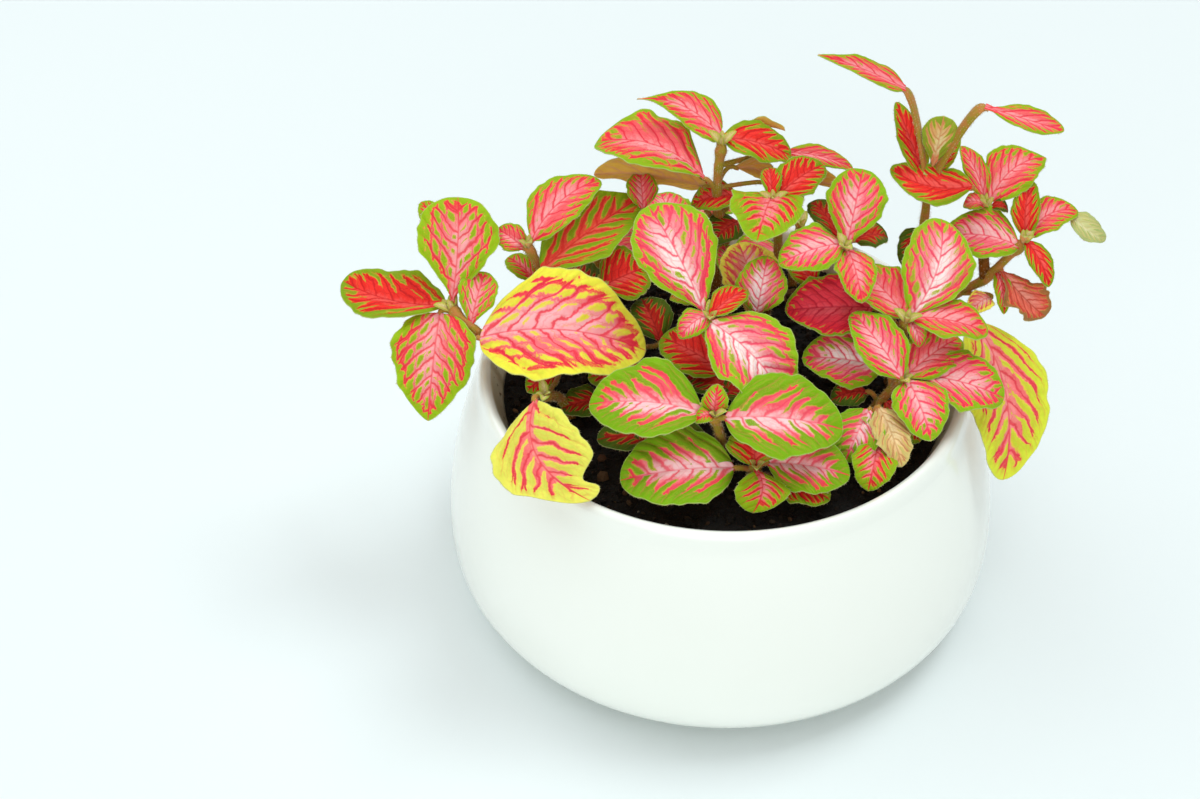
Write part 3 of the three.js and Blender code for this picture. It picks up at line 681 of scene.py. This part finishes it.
def rotated(points, quaternion):
    w, x, y, z = unit(quaternion)
    matrix = np.array([
        [1 - 2 * (y * y + z * z), 2 * (x * y - w * z), 2 * (x * z + w * y)],
        [2 * (x * y + w * z), 1 - 2 * (x * x + z * z), 2 * (y * z - w * x)],
        [2 * (x * z - w * y), 2 * (y * z + w * x), 1 - 2 * (x * x + y * y)],
    ])
    return points @ matrix.T


def make_soil(earth, crumb):
    body = Body()
    foot = POT_FLOOR + SOIL_GAP
    bend, bend_gap = SOIL_BEND
    outline = [(0, foot), (SOIL_FOOT_RADIUS, foot), (inner_radius(bend) - bend_gap, bend)]
    outline += [(inner_radius(height) - SOIL_GAP, height) for height in SOIL_SIDE_HEIGHTS]
    outline += [
        (SOIL_RADIUS * (1 - ring / SOIL_RINGS), SOIL_EDGE_HEIGHT) for ring in range(SOIL_RINGS + 1)
    ]
    points, faces = turned(outline, SOIL_SIDES)
    top = points[:, 2] > SOIL_EDGE_HEIGHT - 0.1
    points[top, 2] = soil_height(points[top, 0], points[top, 1])
    body.add(points, faces, 0, grain=(0, 0.5, 0))
    random = np.random.default_rng(SOIL_SEED)
    for grains in (GRAINS, CLODS, CRUMBS):
        strew(body, random, **grains)
    piece = body.build("potting_soil", [earth, crumb], soft=False)
    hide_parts("soil")


def evenly(points):
    """The same path with its points about TUBE_STEP apart."""
    run = np.concatenate([[0], np.cumsum(np.linalg.norm(np.diff(points, axis=0), axis=1))])
    marks = np.linspace(0, run[-1], max(int(run[-1] / TUBE_STEP), 4) + 1)
    return np.stack([np.interp(marks, run, points[:, axis]) for axis in range(3)], -1)


def along_path(path, share):
    """The point at a share of an even path's length."""
    spot = share * (len(path) - 1)
    low = min(int(spot), len(path) - 2)
    return path[low] + (path[low + 1] - path[low]) * (spot - low)


def carried_frames(path, face):
    """A face and a right direction, carried back along the path from its end."""
    tangents = unit(np.gradient(path, axis=0))
    faces = np.empty_like(path)
    for i in range(len(path) - 1, -1, -1):
        face = face - tangents[i] * (face @ tangents[i])
        face = face / np.linalg.norm(face)
        faces[i] = face
    return faces, np.cross(tangents, faces)


def tube(path, face, wide, deep, sides):
    """Rings of points round a path. wide and deep are its half sizes, across and through its face."""
    faces, rights = carried_frames(path, face)
    angle = np.linspace(0, 2 * math.pi, sides, endpoint=False)
    return (
        path[:, None]
        + rights[:, None] * (wide[:, None] * np.cos(angle))[..., None]
        + faces[:, None] * (deep[:, None] * np.sin(angle))[..., None]
    )


def add_tube(body, rings, share, is_stalk):
    """The shell of a stem or a stalk. share is how far along it each ring is."""
    sides = rings.shape[1]
    tone = np.repeat(share, sides)
    value = np.stack([tone, np.full(len(tone), is_stalk), np.zeros(len(tone))], -1)
    body.add(rings.reshape(-1, 3), ring_faces(len(rings), sides), SKIN, stem=value)


def blade_frame(leaf):
    """A blade's base, its directions along its midrib, up from its face and to its right, and its
    length."""
    base = place(leaf["base"])
    along = place(leaf["tip"]) - base
    length = np.linalg.norm(along)
    along = along / length
    tilt, heading = math.radians(leaf["tilt"]), math.radians(leaf["heading"])
    face = np.array([
        math.sin(tilt) * math.sin(heading),
        -math.sin(tilt) * math.cos(heading),
        math.cos(tilt),
    ])
    face = unit(face - along * (face @ along))
    return base, along, face, np.cross(along, face), length


def leaf_values(leaf, share, across, reach, length, seed):
    """What the leaf material reads: the place in the leaf and how far it is from the margin, its
    sizes, its colours and its amounts."""
    look = LOOKS[leaf["look"]]
    amounts = look[len(LEAF_COLOURS):]
    half = 0.5 * leaf["width"]
    room = np.maximum(reach, BASE_ROOM * half * (1 - share) ** 2)
    depth = np.minimum((1 - np.abs(across)) * room, (1 - share) * length) / half
    return {
        "leaf_place": np.stack([across * reach / half, share, depth], -1),
        "leaf_size": [half, length, seed % LEAF_NUMBERS],
        **{f"{part}_colour": linear(code) for part, code in zip(LEAF_COLOURS, look)},
        "leaf_amounts": amounts[:3],
        "leaf_lines": amounts[3:],
    }


def outline_reach(leaf, share):
    """Half the blade's width at a share of the way from base to tip, with a plain outline."""
    skew = math.log(0.5) / math.log(leaf["fullest"])
    power = leaf["taper"] + (leaf["blunt"] - leaf["taper"]) * share
    belly = np.sin(math.pi * np.clip(share, 0, 1) ** skew).clip(0) ** power
    end, narrowing = STRAP_END if leaf["stalk"] > WIDEST_STALK else STALK_END
    stalk = end * leaf["stalk"] * np.exp(-narrowing * share) + LEAST_REACH
    return np.maximum(0.5 * leaf["width"] * belly, stalk)


def waved_reach(leaf, share, side, phase):
    """Half the blade's width with the outline's swings and the notch in its left edge."""
    reach = outline_reach(leaf, share)
    for swing, pace, start in zip(EDGE_SWINGS, EDGE_PACES, phase):
        swing = swing * CRUMPLED.get(leaf["look"], 1)
        reach = reach * (1 + swing * np.sin(share * pace + start + 2 * side))
    notch = hump(share - NOTCH_PLACE, leaf["notch"], NOTCH_LENGTH)
    return np.where(side < 0, reach * (1 - notch), reach)


def vein_order(x, share, half):
    """Counts the side veins, along the blade and towards its edge: each is at a whole number."""
    lean = VEIN_LEAN * np.abs(x / half) ** VEIN_CURVE
    crowd = VEIN_CROWD[0] + VEIN_CROWD[1] * half
    return (VEIN_PAIRS * share - lean) * crowd + VEIN_SHIFT * np.sign(x)


def blade_lift(leaf, share, across, reach, phase):
    """How far a blade's middle layer lies above its midrib: it is folded, bulges, waves, crumples
    where it dries, twists and swells between its veins."""
    width = leaf["width"]
    crumple = CRUMPLED.get(leaf["look"], 1)
    out, side = np.abs(across), np.sign(across)
    x = across * reach
    lift = leaf["fold"] * CREASE * reach * out ** 1.35
    lift += BULGE * reach * np.sin(math.pi * out ** 0.9)
    pace = np.where(side < 0, *WAVE_PACES)
    lift += EDGE_WAVE * crumple * reach * out ** 3 * np.sin(share * pace + phase[1] + side)
    folds = np.sin(x * FOLD_PACES[0] + share * FOLD_PACES[1] + phase[2])
    lift += CRUMPLE_FOLDS * (crumple - 1) * reach * folds * out
    lift += TWIST * width * np.sin(TWIST_PACE * share + phase[2]) * across * np.sin(math.pi * share)
    swell = np.abs(np.sin(math.pi * vein_order(x, share, 0.5 * width))) ** 0.7
    room = np.clip(np.abs(x) / 1.2, 0, 1) * smooth(1 - out, 0, 0.25) * smooth(1 - share, 0.02, 0.2)
    lift += QUILT * width * (swell - 0.5) * room
    return lift - hump(x, *GROOVE) * (1 - share)


def blade_grid(leaf, length):
    """Shares from base to tip, and from -1 at the left edge to 1 at the right one. Points are
    closer together towards both ends and both edges."""
    rows = int(np.clip(length / GRID_STEP, *GRID_ROWS))
    columns = 2 * int(np.clip(leaf["width"] / GRID_STEP / 2, *HALF_COLUMNS))
    even = np.linspace(0, 1, rows + 1)
    share = 0.5 * even + 0.25 * (1 - np.cos(math.pi * even))
    across = np.sin(np.linspace(-1, 1, columns + 1) * EDGE_CROWD) / math.sin(EDGE_CROWD)
    return np.meshgrid(share, across, indexing="ij")


def add_blade(body, leaf, seed):
    """A thin closed blade. Gives back its two edges and its directions to the right and up."""
    base, along, face, right, length = blade_frame(leaf)
    share, across = blade_grid(leaf, length)
    phase = np.random.default_rng(seed).uniform(0, 2 * math.pi, 3)
    reach = waved_reach(leaf, share, np.sign(across), phase)
    lift = blade_lift(leaf, share, across, reach, phase)
    x = across * reach
    bow = 4 * share * (1 - share)
    sheet = (
        base
        + along * (length * share)[..., None]
        + face * (leaf["arch"] * bow)[..., None]
        + right * (leaf["bend"] * bow)[..., None]
        + right * x[..., None]
    )
    half = BLADE_EDGE + (BLADE_MIDDLE - BLADE_EDGE) * (1 - across ** 2) * (1 - 0.5 * share)
    rib = hump(x, *RIB) * (1 - 0.75 * share)
    top = sheet + face * (lift + half)[..., None]
    bottom = sheet + face * (lift - half - rib)[..., None]

    points = np.concatenate([top.reshape(-1, 3), bottom.reshape(-1, 3)])
    grid = np.arange(share.size).reshape(share.shape)
    quads = np.stack([grid[:-1, :-1], grid[:-1, 1:], grid[1:, 1:], grid[1:, :-1]], -1).reshape(-1, 4)
    border = np.concatenate([grid[0, :-1], grid[:-1, -1], grid[-1, :0:-1], grid[:0:-1, 0]])
    after = np.roll(border, -1)
    rim = np.stack([border, border + grid.size, after + grid.size, after], -1)
    faces = [quads, rim, quads[:, ::-1] + grid.size]
    twice = [np.tile(values.ravel(), 2) for values in (share, across, reach)]
    body.add(points, faces, [UPPER, UPPER, UNDER], **leaf_values(leaf, *twice, length, seed))
    return top[:, [0, -1]], right, face


def add_hairs(body, roots, directions, lengths):
    """Fine three-sided hairs that stand on the points given."""
    random = np.random.default_rng(len(roots))
    directions = unit(directions + HAIR_SCATTER * random.normal(size=directions.shape))
    side = unit(np.cross(directions, random.normal(size=directions.shape)))
    other = np.cross(directions, side)
    angles = np.array([0, 2, 4]) * math.pi / 3
    feet = [roots + HAIR_RADIUS * (side * math.cos(angle) + other * math.sin(angle)) for angle in angles]
    tips = roots + directions * lengths[:, None]
    points = np.stack([*feet, tips], 1).reshape(-1, 3)
    start = np.arange(len(roots))[:, None, None] * 4
    faces = (np.array([[0, 2, 1], [0, 1, 3], [1, 2, 3], [2, 0, 3]])[None] + start).reshape(-1, 3)
    body.add(points, [faces], HAIR)


def tube_hairs(body, rings, path, density, longest, random):
    """Hairs all round a stem or stalk."""
    outward = unit(rings - path[:, None])
    girth = np.linalg.norm(rings[:, 0] - rings[:, rings.shape[1] // 2], axis=-1).mean() * math.pi
    count = int(density * girth * (len(path) - 1) * TUBE_STEP)
    if count < 1:
        return
    ring = random.integers(0, len(path) - 1, count)
    side = random.integers(0, rings.shape[1], count)
    share = random.uniform(0, 1, (count, 1))
    roots = rings[ring, side] * (1 - share) + rings[ring + 1, side] * share
    add_hairs(body, roots, outward[ring, side], random.uniform(0.4, 1, count) * longest)


def edge_hairs(body, edges, right, face, random):
    """A fringe of short hairs along both edges of a blade."""
    for edge, outward in ((0, -right), (1, right)):
        line = edges[:, edge]
        length = np.linalg.norm(np.diff(line, axis=0), axis=1).sum()
        count = int(EDGE_HAIRS * length)
        spot = random.uniform(0, len(line) - 1.01, count)
        low = spot.astype(int)
        part = (spot - low)[:, None]
        roots = line[low] * (1 - part) + line[low + 1] * part - face * BLADE_EDGE
        along = unit(line[low + 1] - line[low])
        directions = np.broadcast_to(outward, roots.shape) + 0.5 * along
        add_hairs(body, roots, directions, random.uniform(*EDGE_HAIR_LENGTHS, count))


def add_stalk(body, leaf, stem_path, random):
    """The stalk, from inside the stem to under the blade's base."""
    base, along, face, _, _ = blade_frame(leaf)
    start = along_path(stem_path, leaf["joint"])
    part, most = STALK_TURN
    turn = base - along * part * min(np.linalg.norm(base - start), most)
    t = np.linspace(0, 1, 24)[:, None]
    curve = start * (1 - t) ** 2 + turn * 2 * t * (1 - t) + base * t ** 2
    path = evenly(np.vstack([curve, base + along * STALK_OVERLAP]))
    share = np.linspace(0, 1, len(path))
    flare = np.exp(-FLARE_FADE * share)
    wide = 0.5 * leaf["stalk"] * (1 + STALK_FLARE[0] * flare)
    wide = wide * (1 - STALK_TAPER[0] * smooth(share, 0.9, 1))
    deep = max(STALK_DEPTH, STRAP_DEPTH * leaf["stalk"]) * (1 + STALK_FLARE[1] * flare)
    deep = deep * (1 - STALK_TAPER[1] * smooth(share, 0.85, 1))
    rings = tube(path, face, wide, deep, STALK_SIDES)
    rings -= (face * STALK_DROP * smooth(share, 0.8, 1)[:, None])[:, None]
    add_tube(body, rings, share, 1)
    tube_hairs(body, rings, path, STALK_HAIRS, LONGEST_STALK_HAIR, random)


def stem_start(foot):
    """The first points of a stem: on an earlier stem, or up through the soil."""
    if len(foot) == 3:
        return [seen(foot)]
    sunk = SOIL_EDGE_HEIGHT - STEM_SINK
    half_sunk = SOIL_EDGE_HEIGHT - 0.5 * STEM_SINK
    return [np.array([*foot, height]) for height in (sunk, half_sunk, SOIL_EDGE_HEIGHT + SOIL_MOUND)]


def add_stem(body, foot, through, blades, random, seed):
    """A stem that swells a little where stalks leave it. Gives back its path."""
    path = evenly(spline([*stem_start(foot), *[place(where) for where in through]], STEM_STEPS, 0.5))
    share = np.linspace(0, 1, len(path))
    radius = STEM_RADIUS + (STEM_TIP_RADIUS - STEM_RADIUS) * share
    mean, swing, length = STEM_BUMPS
    radius = radius * (mean + swing * ripple(path, length, seed))
    for leaf in blades:
        radius = radius + hump((share - leaf["joint"]) * len(path) * TUBE_STEP, JOINT_SWELL, JOINT_LENGTH)
    radius = np.minimum(radius, WIDEST_STEM)
    radius[-1] *= 0.5
    rings = tube(path, np.array([0.0, -1.0, 0.2]), radius, radius, STEM_SIDES)
    add_tube(body, rings, share, 0)
    clear = path[:, 2] > SOIL_EDGE_HEIGHT + SOIL_MOUND
    if clear.sum() > 2:
        tube_hairs(body, rings[clear], path[clear], STEM_HAIRS, LONGEST_STEM_HAIR, random)
    return path


def add_bud(body, path, seed):
    """The unopened leaves at the end of a stem: small crossed pairs round its growing point."""
    rise = unit(unit(path[-1] - path[-4]) + np.array([0, 0, 0.6]))
    turn = np.random.default_rng(seed).uniform(0, 2 * math.pi)
    for pair, (size, spread) in enumerate(BUD_LEAVES):
        for side in (0, math.pi):
            heading = turn + pair * math.pi / 2 + side
            out = np.array([math.cos(heading), math.sin(heading), 0])
            base = path[-1] - rise * 0.6 + out * 0.3
            tip = base + size * unit(rise + spread * out)
            leaf = blade(base, tip, 0.5 * size, "sprout", arch=0.1 * size, fold=1.6, stalk=0)
            seed += 1
            add_blade(body, leaf, seed)


def make_shoot(name, stems, materials, seed):
    body = Body()
    random = np.random.default_rng(seed)
    for grown in stems:
        path = add_stem(body, **grown, random=random, seed=seed)
        for leaf in grown["blades"]:
            seed += 1
            if leaf["stalk"]:
                add_stalk(body, leaf, path, random)
            edge_hairs(body, *add_blade(body, leaf, seed), random)
        add_bud(body, path, seed)
    piece = body.build(name.replace("shoot", "leafy_stem"), materials)
    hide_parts(name)
    return seed


class Value:
    """What comes out of a node of a material. Sums and the like of such values make new nodes."""

    def __init__(self, graph, socket):
        self.graph = graph
        self.socket = socket

    def __add__(self, other):
        return self.graph.math("ADD", self, other)

    def __sub__(self, other):
        return self.graph.math("SUBTRACT", self, other)

    def __rsub__(self, other):
        return self.graph.math("SUBTRACT", other, self)

    def __mul__(self, other):
        return self.graph.math("MULTIPLY", self, other)

    def __truediv__(self, other):
        return self.graph.math("DIVIDE", self, other)

    def __pow__(self, other):
        return self.graph.math("POWER", self, other)

    def __abs__(self):
        return self.graph.math("ABSOLUTE", self)


class Graph:
    """A material and short ways to make its nodes."""

    def __init__(self, name):
        self.material = bpy.data.materials.new(name)
        self.material.use_nodes = True
        self.tree = self.material.node_tree
        self.shader = self.tree.nodes["Principled BSDF"]

    def wire(self, node, inputs):
        """Sets or links a node's inputs, given by their names or numbers."""
        for key, value in inputs.items():
            if isinstance(value, Value):
                self.tree.links.new(value.socket, node.inputs[key])
            else:
                node.inputs[key].default_value = value

    def node(self, kind, inputs, output=0, **settings):
        node = self.tree.nodes.new(kind)
        for key, value in settings.items():
            setattr(node, key, value)
        self.wire(node, inputs)
        return Value(self, node.outputs[output])

    def math(self, operation, *values):
        return self.node("ShaderNodeMath", dict(enumerate(values)), operation=operation)

    def largest(self, *values):
        return functools.reduce(lambda first, second: self.math("MAXIMUM", first, second), values)

    def mix(self, share, first, second):
        """The first colour where share is 0, the second where it is 1."""
        inputs = {"Factor": share, 6: colour(first), 7: colour(second)}
        return self.node("ShaderNodeMix", inputs, output=2, data_type="RGBA")

    def between(self, value, low, high, start=0.0, end=1.0):
        """Start below low, end above high, and an even turn between them."""
        inputs = dict(enumerate((value, low, high, start, end)))
        return self.node("ShaderNodeMapRange", inputs, interpolation_type="SMOOTHSTEP")

    def noise(self, place, scale, detail=2.0):
        return self.node("ShaderNodeTexNoise", {"Vector": place, "Scale": scale, "Detail": detail})

    def random(self, *values):
        """A number from 0 to 1 that is the same wherever the values are."""
        return self.node("ShaderNodeTexWhiteNoise", {"Vector": self.joined(*values)}, output="Value")

    def parts(self, vector):
        split = self.node("ShaderNodeSeparateXYZ", {0: vector})
        return [Value(self, socket) for socket in split.socket.node.outputs]

    def joined(self, *values):
        return self.node("ShaderNodeCombineXYZ", dict(enumerate(values)))

    def attribute(self, name):
        return self.node("ShaderNodeAttribute", {}, output="Vector", attribute_name=name)

    def parts_of(self, name):
        """The three numbers of an attribute."""
        return self.parts(self.attribute(name))

    def own_place(self):
        return self.node("ShaderNodeTexCoord", {}, output="Object")

    def bump(self, height, strength, distance):
        inputs = {"Height": height, "Strength": strength, "Distance": distance}
        self.set(Normal=self.node("ShaderNodeBump", inputs))

    def set(self, **values):
        """Sets or links the shader's own sockets."""
        self.wire(self.shader, {key.replace("_", " "): value for key, value in values.items()})


def colour(value):
    """A colour for a socket, from #RRGGBB, or what is given."""
    return (*linear(value), 1.0) if isinstance(value, str) else value


def glaze_material():
    """Cool white glaze, glossy and very slightly uneven. Inside it is tinted cream and flecked with dark
    specks, with brown stains that grow stronger towards the soil.
    """
    graph = Graph("white_glaze")
    place = graph.own_place()
    x, y, z = graph.parts(place)
    radius = graph.math("SQRT", x * x + y * y)
    tint = graph.mix(graph.noise(place, 22), "#F4F8F0", "#FAFCF6")
    inside = graph.math("LESS_THAN", radius, (RIM_RADIUS - 2.2) * MM)
    splash = graph.between(graph.noise(place, 70, 4.0), 0.4, 0.66)
    low = graph.between(z, (RIM_HEIGHT - 1) * MM, SOIL_EDGE_HEIGHT * MM)
    specks = graph.between(graph.noise(place, 420, 2.0), 0.66, 0.7)
    dull = graph.mix(inside * 0.7, tint, "#FAF2CE")
    dull = graph.mix(inside * specks * 0.8, dull, "#4A3320")
    graph.set(
        Base_Color=graph.mix(inside * splash * low * 0.35, dull, "#A08650"),
        Roughness=graph.between(graph.noise(place, 60, 3.0), 0.3, 0.7, 0.12, 0.2),
        Coat_Weight=0.4,
        Coat_Roughness=0.06,
        Specular_IOR_Level=0.5,
    )
    graph.bump(graph.noise(place, 45, 1.0), 0.06, 0.001)
    return graph.material


def soil_material(name, dark, light, pale):
    """Potting mix in two tones, with browner grains where a grain's own tone says so."""
    graph = Graph(name)
    place = graph.own_place()
    tone, hue, _ = graph.parts_of("grain")
    mottled = graph.noise(place, 900, 6.0)
    base = graph.mix(graph.between(mottled, 0.35, 0.75), dark, light)
    brown = graph.mix(hue, "#4A2E1A", pale)
    graph.set(
        Base_Color=graph.mix(tone * tone, base, brown),
        Roughness=graph.between(mottled, 0.3, 0.7, 0.75, 0.95),
        Specular_IOR_Level=0.25,
    )
    graph.bump(graph.noise(place, 1600, 8.0), 0.8, 0.0006)
    return graph.material


def vein_network(graph):
    """What both faces of a leaf share: the place in it, how far the midrib is in millimetres, and
    how far the nearest side vein or fork, cross vein and line halfway between two side veins are,
    as shares of the space between two."""
    u, v, depth = graph.parts_of("leaf_place")
    half, length, seed = graph.parts_of("leaf_size")
    x = u * half
    spot = graph.joined(x, v * length, seed * 9.7)
    wobble = graph.noise(spot, 0.16, 1.0) - 0.5
    shiver = graph.noise(spot, 0.9, 3.0) - 0.5
    out = abs(u)
    side = graph.math("SIGN", u)
    order = (v * VEIN_PAIRS - out ** VEIN_CURVE * VEIN_LEAN) * (half * VEIN_CROWD[1] + VEIN_CROWD[0])
    order = order + side * VEIN_SHIFT + wobble * 1.1 + shiver * 0.3
    row = graph.math("FLOOR", order)
    part = graph.math("FRACT", order)
    own = seed + side * 0.3
    chance = graph.random(row, own)
    spread = graph.between(depth, 0.6, 0.0) * VEIN_FORK
    fork = abs(part - spread) + graph.math("LESS_THAN", chance, 0.5)
    nearer = graph.math("MINIMUM", part, 1.0 - part)
    steps = out * CROSS_VEINS + chance * 3.0 + shiver * 0.7
    return SimpleNamespace(
        u=u, v=v, depth=depth, spot=spot, wobble=wobble, shiver=shiver, chance=chance,
        from_midrib=abs(x),
        away=graph.math("MINIMUM", nearer, fork),
        across=0.5 - abs(graph.math("FRACT", steps) - 0.5),
        halfway=abs(part - 0.5),
        cell_chance=graph.random(row, graph.math("FLOOR", steps), own),
    )


def leaf_material():
    """The upper face: pink flesh along its veins, a pale heart, green between them outside, and a
    thin yellow line where the pink turns to green."""
    graph = Graph("leaf_upper")
    net = vein_network(graph)
    spread, margin, islands = graph.parts_of("leaf_amounts")
    band, mesh, lines = graph.parts_of("leaf_lines")
    edge, tips, flesh, heart, vein = (graph.attribute(f"{part}_colour") for part in LEAF_COLOURS)
    depth = net.depth + net.wobble * 0.15 + net.shiver * 0.16

    # How wide the flesh is along the veins, and where it ends
    rise = (depth + (net.chance - 0.5) * margin - margin) / islands
    wide = band + graph.math("MAXIMUM", rise, 0.0) ** 1.4 * 0.5
    wide = wide * graph.between(net.cell_chance, 0.0, 1.0, 0.8, 1.3)
    wide = wide - graph.between(rise, -0.1, 0.12, 1.0, 0)
    uncut = 1.0 - graph.between(mesh, 0.0, 0.1) * graph.between(rise, -0.02, 0.08)
    green = graph.math("SMOOTH_MIN", net.away - wide, net.across - mesh + uncut, 0.12)
    green = green + net.shiver * 0.14
    beside_middle = (1.05 - net.v) * 1.3 - net.from_midrib
    pink = graph.largest(graph.between(green, -0.03, 0.03, 1, 0), graph.between(beside_middle, -0.1, 0.1))

    # The pale heart on the flesh
    lop = graph.math("SINE", graph.parts(net.spot)[2]) * HEART_SHIFT
    aside = abs(net.u - lop) + net.shiver * 0.3
    pale = graph.between(aside, spread, spread * 0.15) * graph.between(net.v, 0.98, 0.55)
    pale = pale * graph.between(depth, 0.15, 0.5) * graph.between(net.away, 0.02, 0.2, 0.35, 1)
    ground = graph.mix(graph.between(depth, 0.15, 0.55), tips, flesh)
    ground = graph.mix(pale, ground, heart)

    # The vein lines, fainter in the heart and on the green
    network = graph.largest(
        graph.between(net.from_midrib, 0.1, 0.35, 1, 0),
        graph.between(net.halfway, 0.02, 0.09, 0.45, 0),
        graph.between(net.away, 0.03, 0.13, 1, 0),
        graph.between(net.across, 0.02, 0.1, 0.55, 0),
    )
    drawn = network * lines * graph.between(depth, 0.02, 0.2)
    drawn = drawn * graph.between(pale, 0.0, 1.0, 1.0, 0.7) * graph.between(pink, 0.0, 1.0, 0.35, 1.0)

    shade = graph.between(graph.noise(net.spot, 0.5, 4.0) + depth, 0.45, 1.1, 0.0, 0.45)
    leafy = graph.mix(shade, edge, graph.mix(0.5, edge, "#4E8400"))
    base = graph.mix(pink, leafy, ground)
    line = graph.between(abs(green - 0.03), 0.0, 0.09, 0.65, 0) * graph.between(beside_middle, 0.1, -0.3)
    base = graph.mix(line, base, graph.mix(0.6, edge, "#F6C850"))
    base = graph.mix(drawn, base, vein)
    fine = graph.noise(net.spot, 6.0, 3.0)
    base = graph.mix(graph.between(fine, 0.35, 0.75, 0.0, 0.05), base, graph.mix(0.5, base, "#FFE9DC"))
    base = graph.mix(graph.between(net.depth, 0.0, 0.03, 0.6, 0), base, "#C9CF8A")

    graph.set(
        Base_Color=base,
        Roughness=graph.between(fine, 0.3, 0.7, 0.42, 0.56),
        Specular_IOR_Level=0.07,
        Subsurface_Weight=0.08,
        Subsurface_Scale=0.002,
        Sheen_Weight=0.01,
        Sheen_Roughness=0.4,
    )
    pillow = fine * 0.2 + graph.between(net.away, 0.0, 0.4, 0, 1.2)
    graph.bump(pillow - network * 0.5, 0.5, 0.00025)
    return graph.material


def underside_material():
    """The lower face: dull olive brown in warm tones, with raised paler veins."""
    graph = Graph("leaf_underside")
    net = vein_network(graph)
    own = graph.mix(0.5, graph.attribute("flesh_colour"), graph.attribute("edge_colour"))
    base = graph.mix(0.7, own, "#E2B25E")
    base = graph.mix(graph.between(graph.noise(net.spot, 0.6, 4.0), 0.3, 0.7, 0, 0.3), base, "#B8964A")
    veins = graph.largest(
        graph.between(net.from_midrib, 0.3, 0.7, 1, 0),
        graph.between(net.away, 0.04, 0.14, 1, 0),
        graph.between(net.across, 0.01, 0.1, 0.5, 0),
    )
    graph.set(
        Base_Color=graph.mix(veins * 0.55, base, "#CF9478"),
        Roughness=0.62,
        Specular_IOR_Level=0.2,
        Subsurface_Weight=0.6,
        Subsurface_Radius=(1.0, 0.62, 0.2),
        Subsurface_Scale=0.003,
        Sheen_Weight=0.06,
        Sheen_Roughness=0.5,
    )
    graph.bump(veins, 0.5, 0.0003)
    return graph.material


def stem_material():
    """Stems and stalks: mottled olive and orange, and a stem browner and woodier low down."""
    graph = Graph("stem_skin")
    place = graph.own_place()
    share, stalk, _ = graph.parts_of("stem")
    mottled = graph.noise(place, 420, 4.0)
    young = graph.mix(graph.between(mottled, 0.35, 0.65), "#A08E2A", "#BE7E40")
    old = graph.mix(graph.between(mottled, 0.4, 0.6), "#6A400C", "#8A5216")
    graph.set(
        Base_Color=graph.mix(graph.between(share, 0.75, 0.15) * (1.0 - stalk), young, old),
        Roughness=0.6,
        Specular_IOR_Level=0.15,
        Subsurface_Weight=0.06,
        Subsurface_Scale=0.001,
        Sheen_Weight=0.08,
        Sheen_Roughness=0.4,
    )
    graph.bump(graph.noise(place, 1500, 4.0), 0.5, 0.0002)
    return graph.material


def hair_material():
    """Fine pale hairs, slightly uneven in tone."""
    graph = Graph("plant_hair")
    mottled = graph.noise(graph.own_place(), 300, 1.0)
    graph.set(
        Base_Color=graph.mix(graph.between(mottled, 0.4, 0.6), "#C4AC6C", "#E4D4A8"),
        Roughness=0.5,
        Sheen_Weight=0.1,
    )
    return graph.material


def make_floor():
    bpy.ops.mesh.primitive_plane_add(size=FLOOR_SIZE)
    floor = bpy.context.object
    floor.name = "floor"
    graph = Graph("pale_floor")
    grain = graph.noise(graph.own_place(), 3.0)
    graph.set(Base_Color=graph.mix(grain, "#E7EDEF", "#E9EFF0"), Roughness=0.7, Specular_IOR_Level=0.2)
    floor.data.materials.append(graph.material)


def make_lights():
    world = bpy.data.worlds.new("studio")
    world.use_nodes = True
    background = world.node_tree.nodes["Background"]
    background.inputs["Color"].default_value = STUDIO_TINT
    background.inputs["Strength"].default_value = STUDIO_STRENGTH
    bpy.context.scene.world = world
    for name, place, size, power, tint in LIGHTS:
        light = bpy.data.lights.new(name, "AREA")
        light.size = size
        light.energy = power
        light.color = tint
        lamp = bpy.data.objects.new(name, light)
        bpy.context.scene.collection.objects.link(lamp)
        lamp.location = place
        lamp.rotation_euler = (Vector(LIGHTS_AIM) - Vector(place)).to_track_quat("-Z", "Y").to_euler()


def make_camera():
    camera = bpy.data.cameras.new("camera")
    camera.sensor_width = SENSOR
    camera.lens = FOCAL_LENGTH * SENSOR / PICTURE_WIDTH
    camera.clip_start = 0.01
    holder = bpy.data.objects.new("camera", camera)
    bpy.context.scene.collection.objects.link(holder)
    axes = Matrix((RIGHT, UP, -FORWARD)).transposed()
    holder.matrix_world = Matrix.Translation(Vector(EYE * MM)) @ axes.to_4x4()
    bpy.context.scene.camera = holder


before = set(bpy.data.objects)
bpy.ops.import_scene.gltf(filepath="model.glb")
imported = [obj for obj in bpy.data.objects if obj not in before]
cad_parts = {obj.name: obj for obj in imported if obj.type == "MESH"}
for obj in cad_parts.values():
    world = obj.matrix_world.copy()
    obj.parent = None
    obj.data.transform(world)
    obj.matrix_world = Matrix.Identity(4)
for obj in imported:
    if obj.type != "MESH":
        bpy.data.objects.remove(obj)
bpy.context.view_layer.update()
bpy.context.scene.view_settings.view_transform = "Standard"

make_camera()
make_lights()
make_floor()
make_pot(glaze_material())
make_soil(
    soil_material("damp_soil", "#060505", "#15100C", "#7A5838"),
    soil_material("pale_crumb", "#5A4A38", "#8A7A62", "#D8D0BC"),
)
foliage = [leaf_material(), underside_material(), stem_material(), hair_material()]
shoot_seed = 1
for shoot_name, shoot_stems in SHOOTS.items():
    shoot_seed = make_shoot(shoot_name, shoot_stems, foliage, shoot_seed) + 1
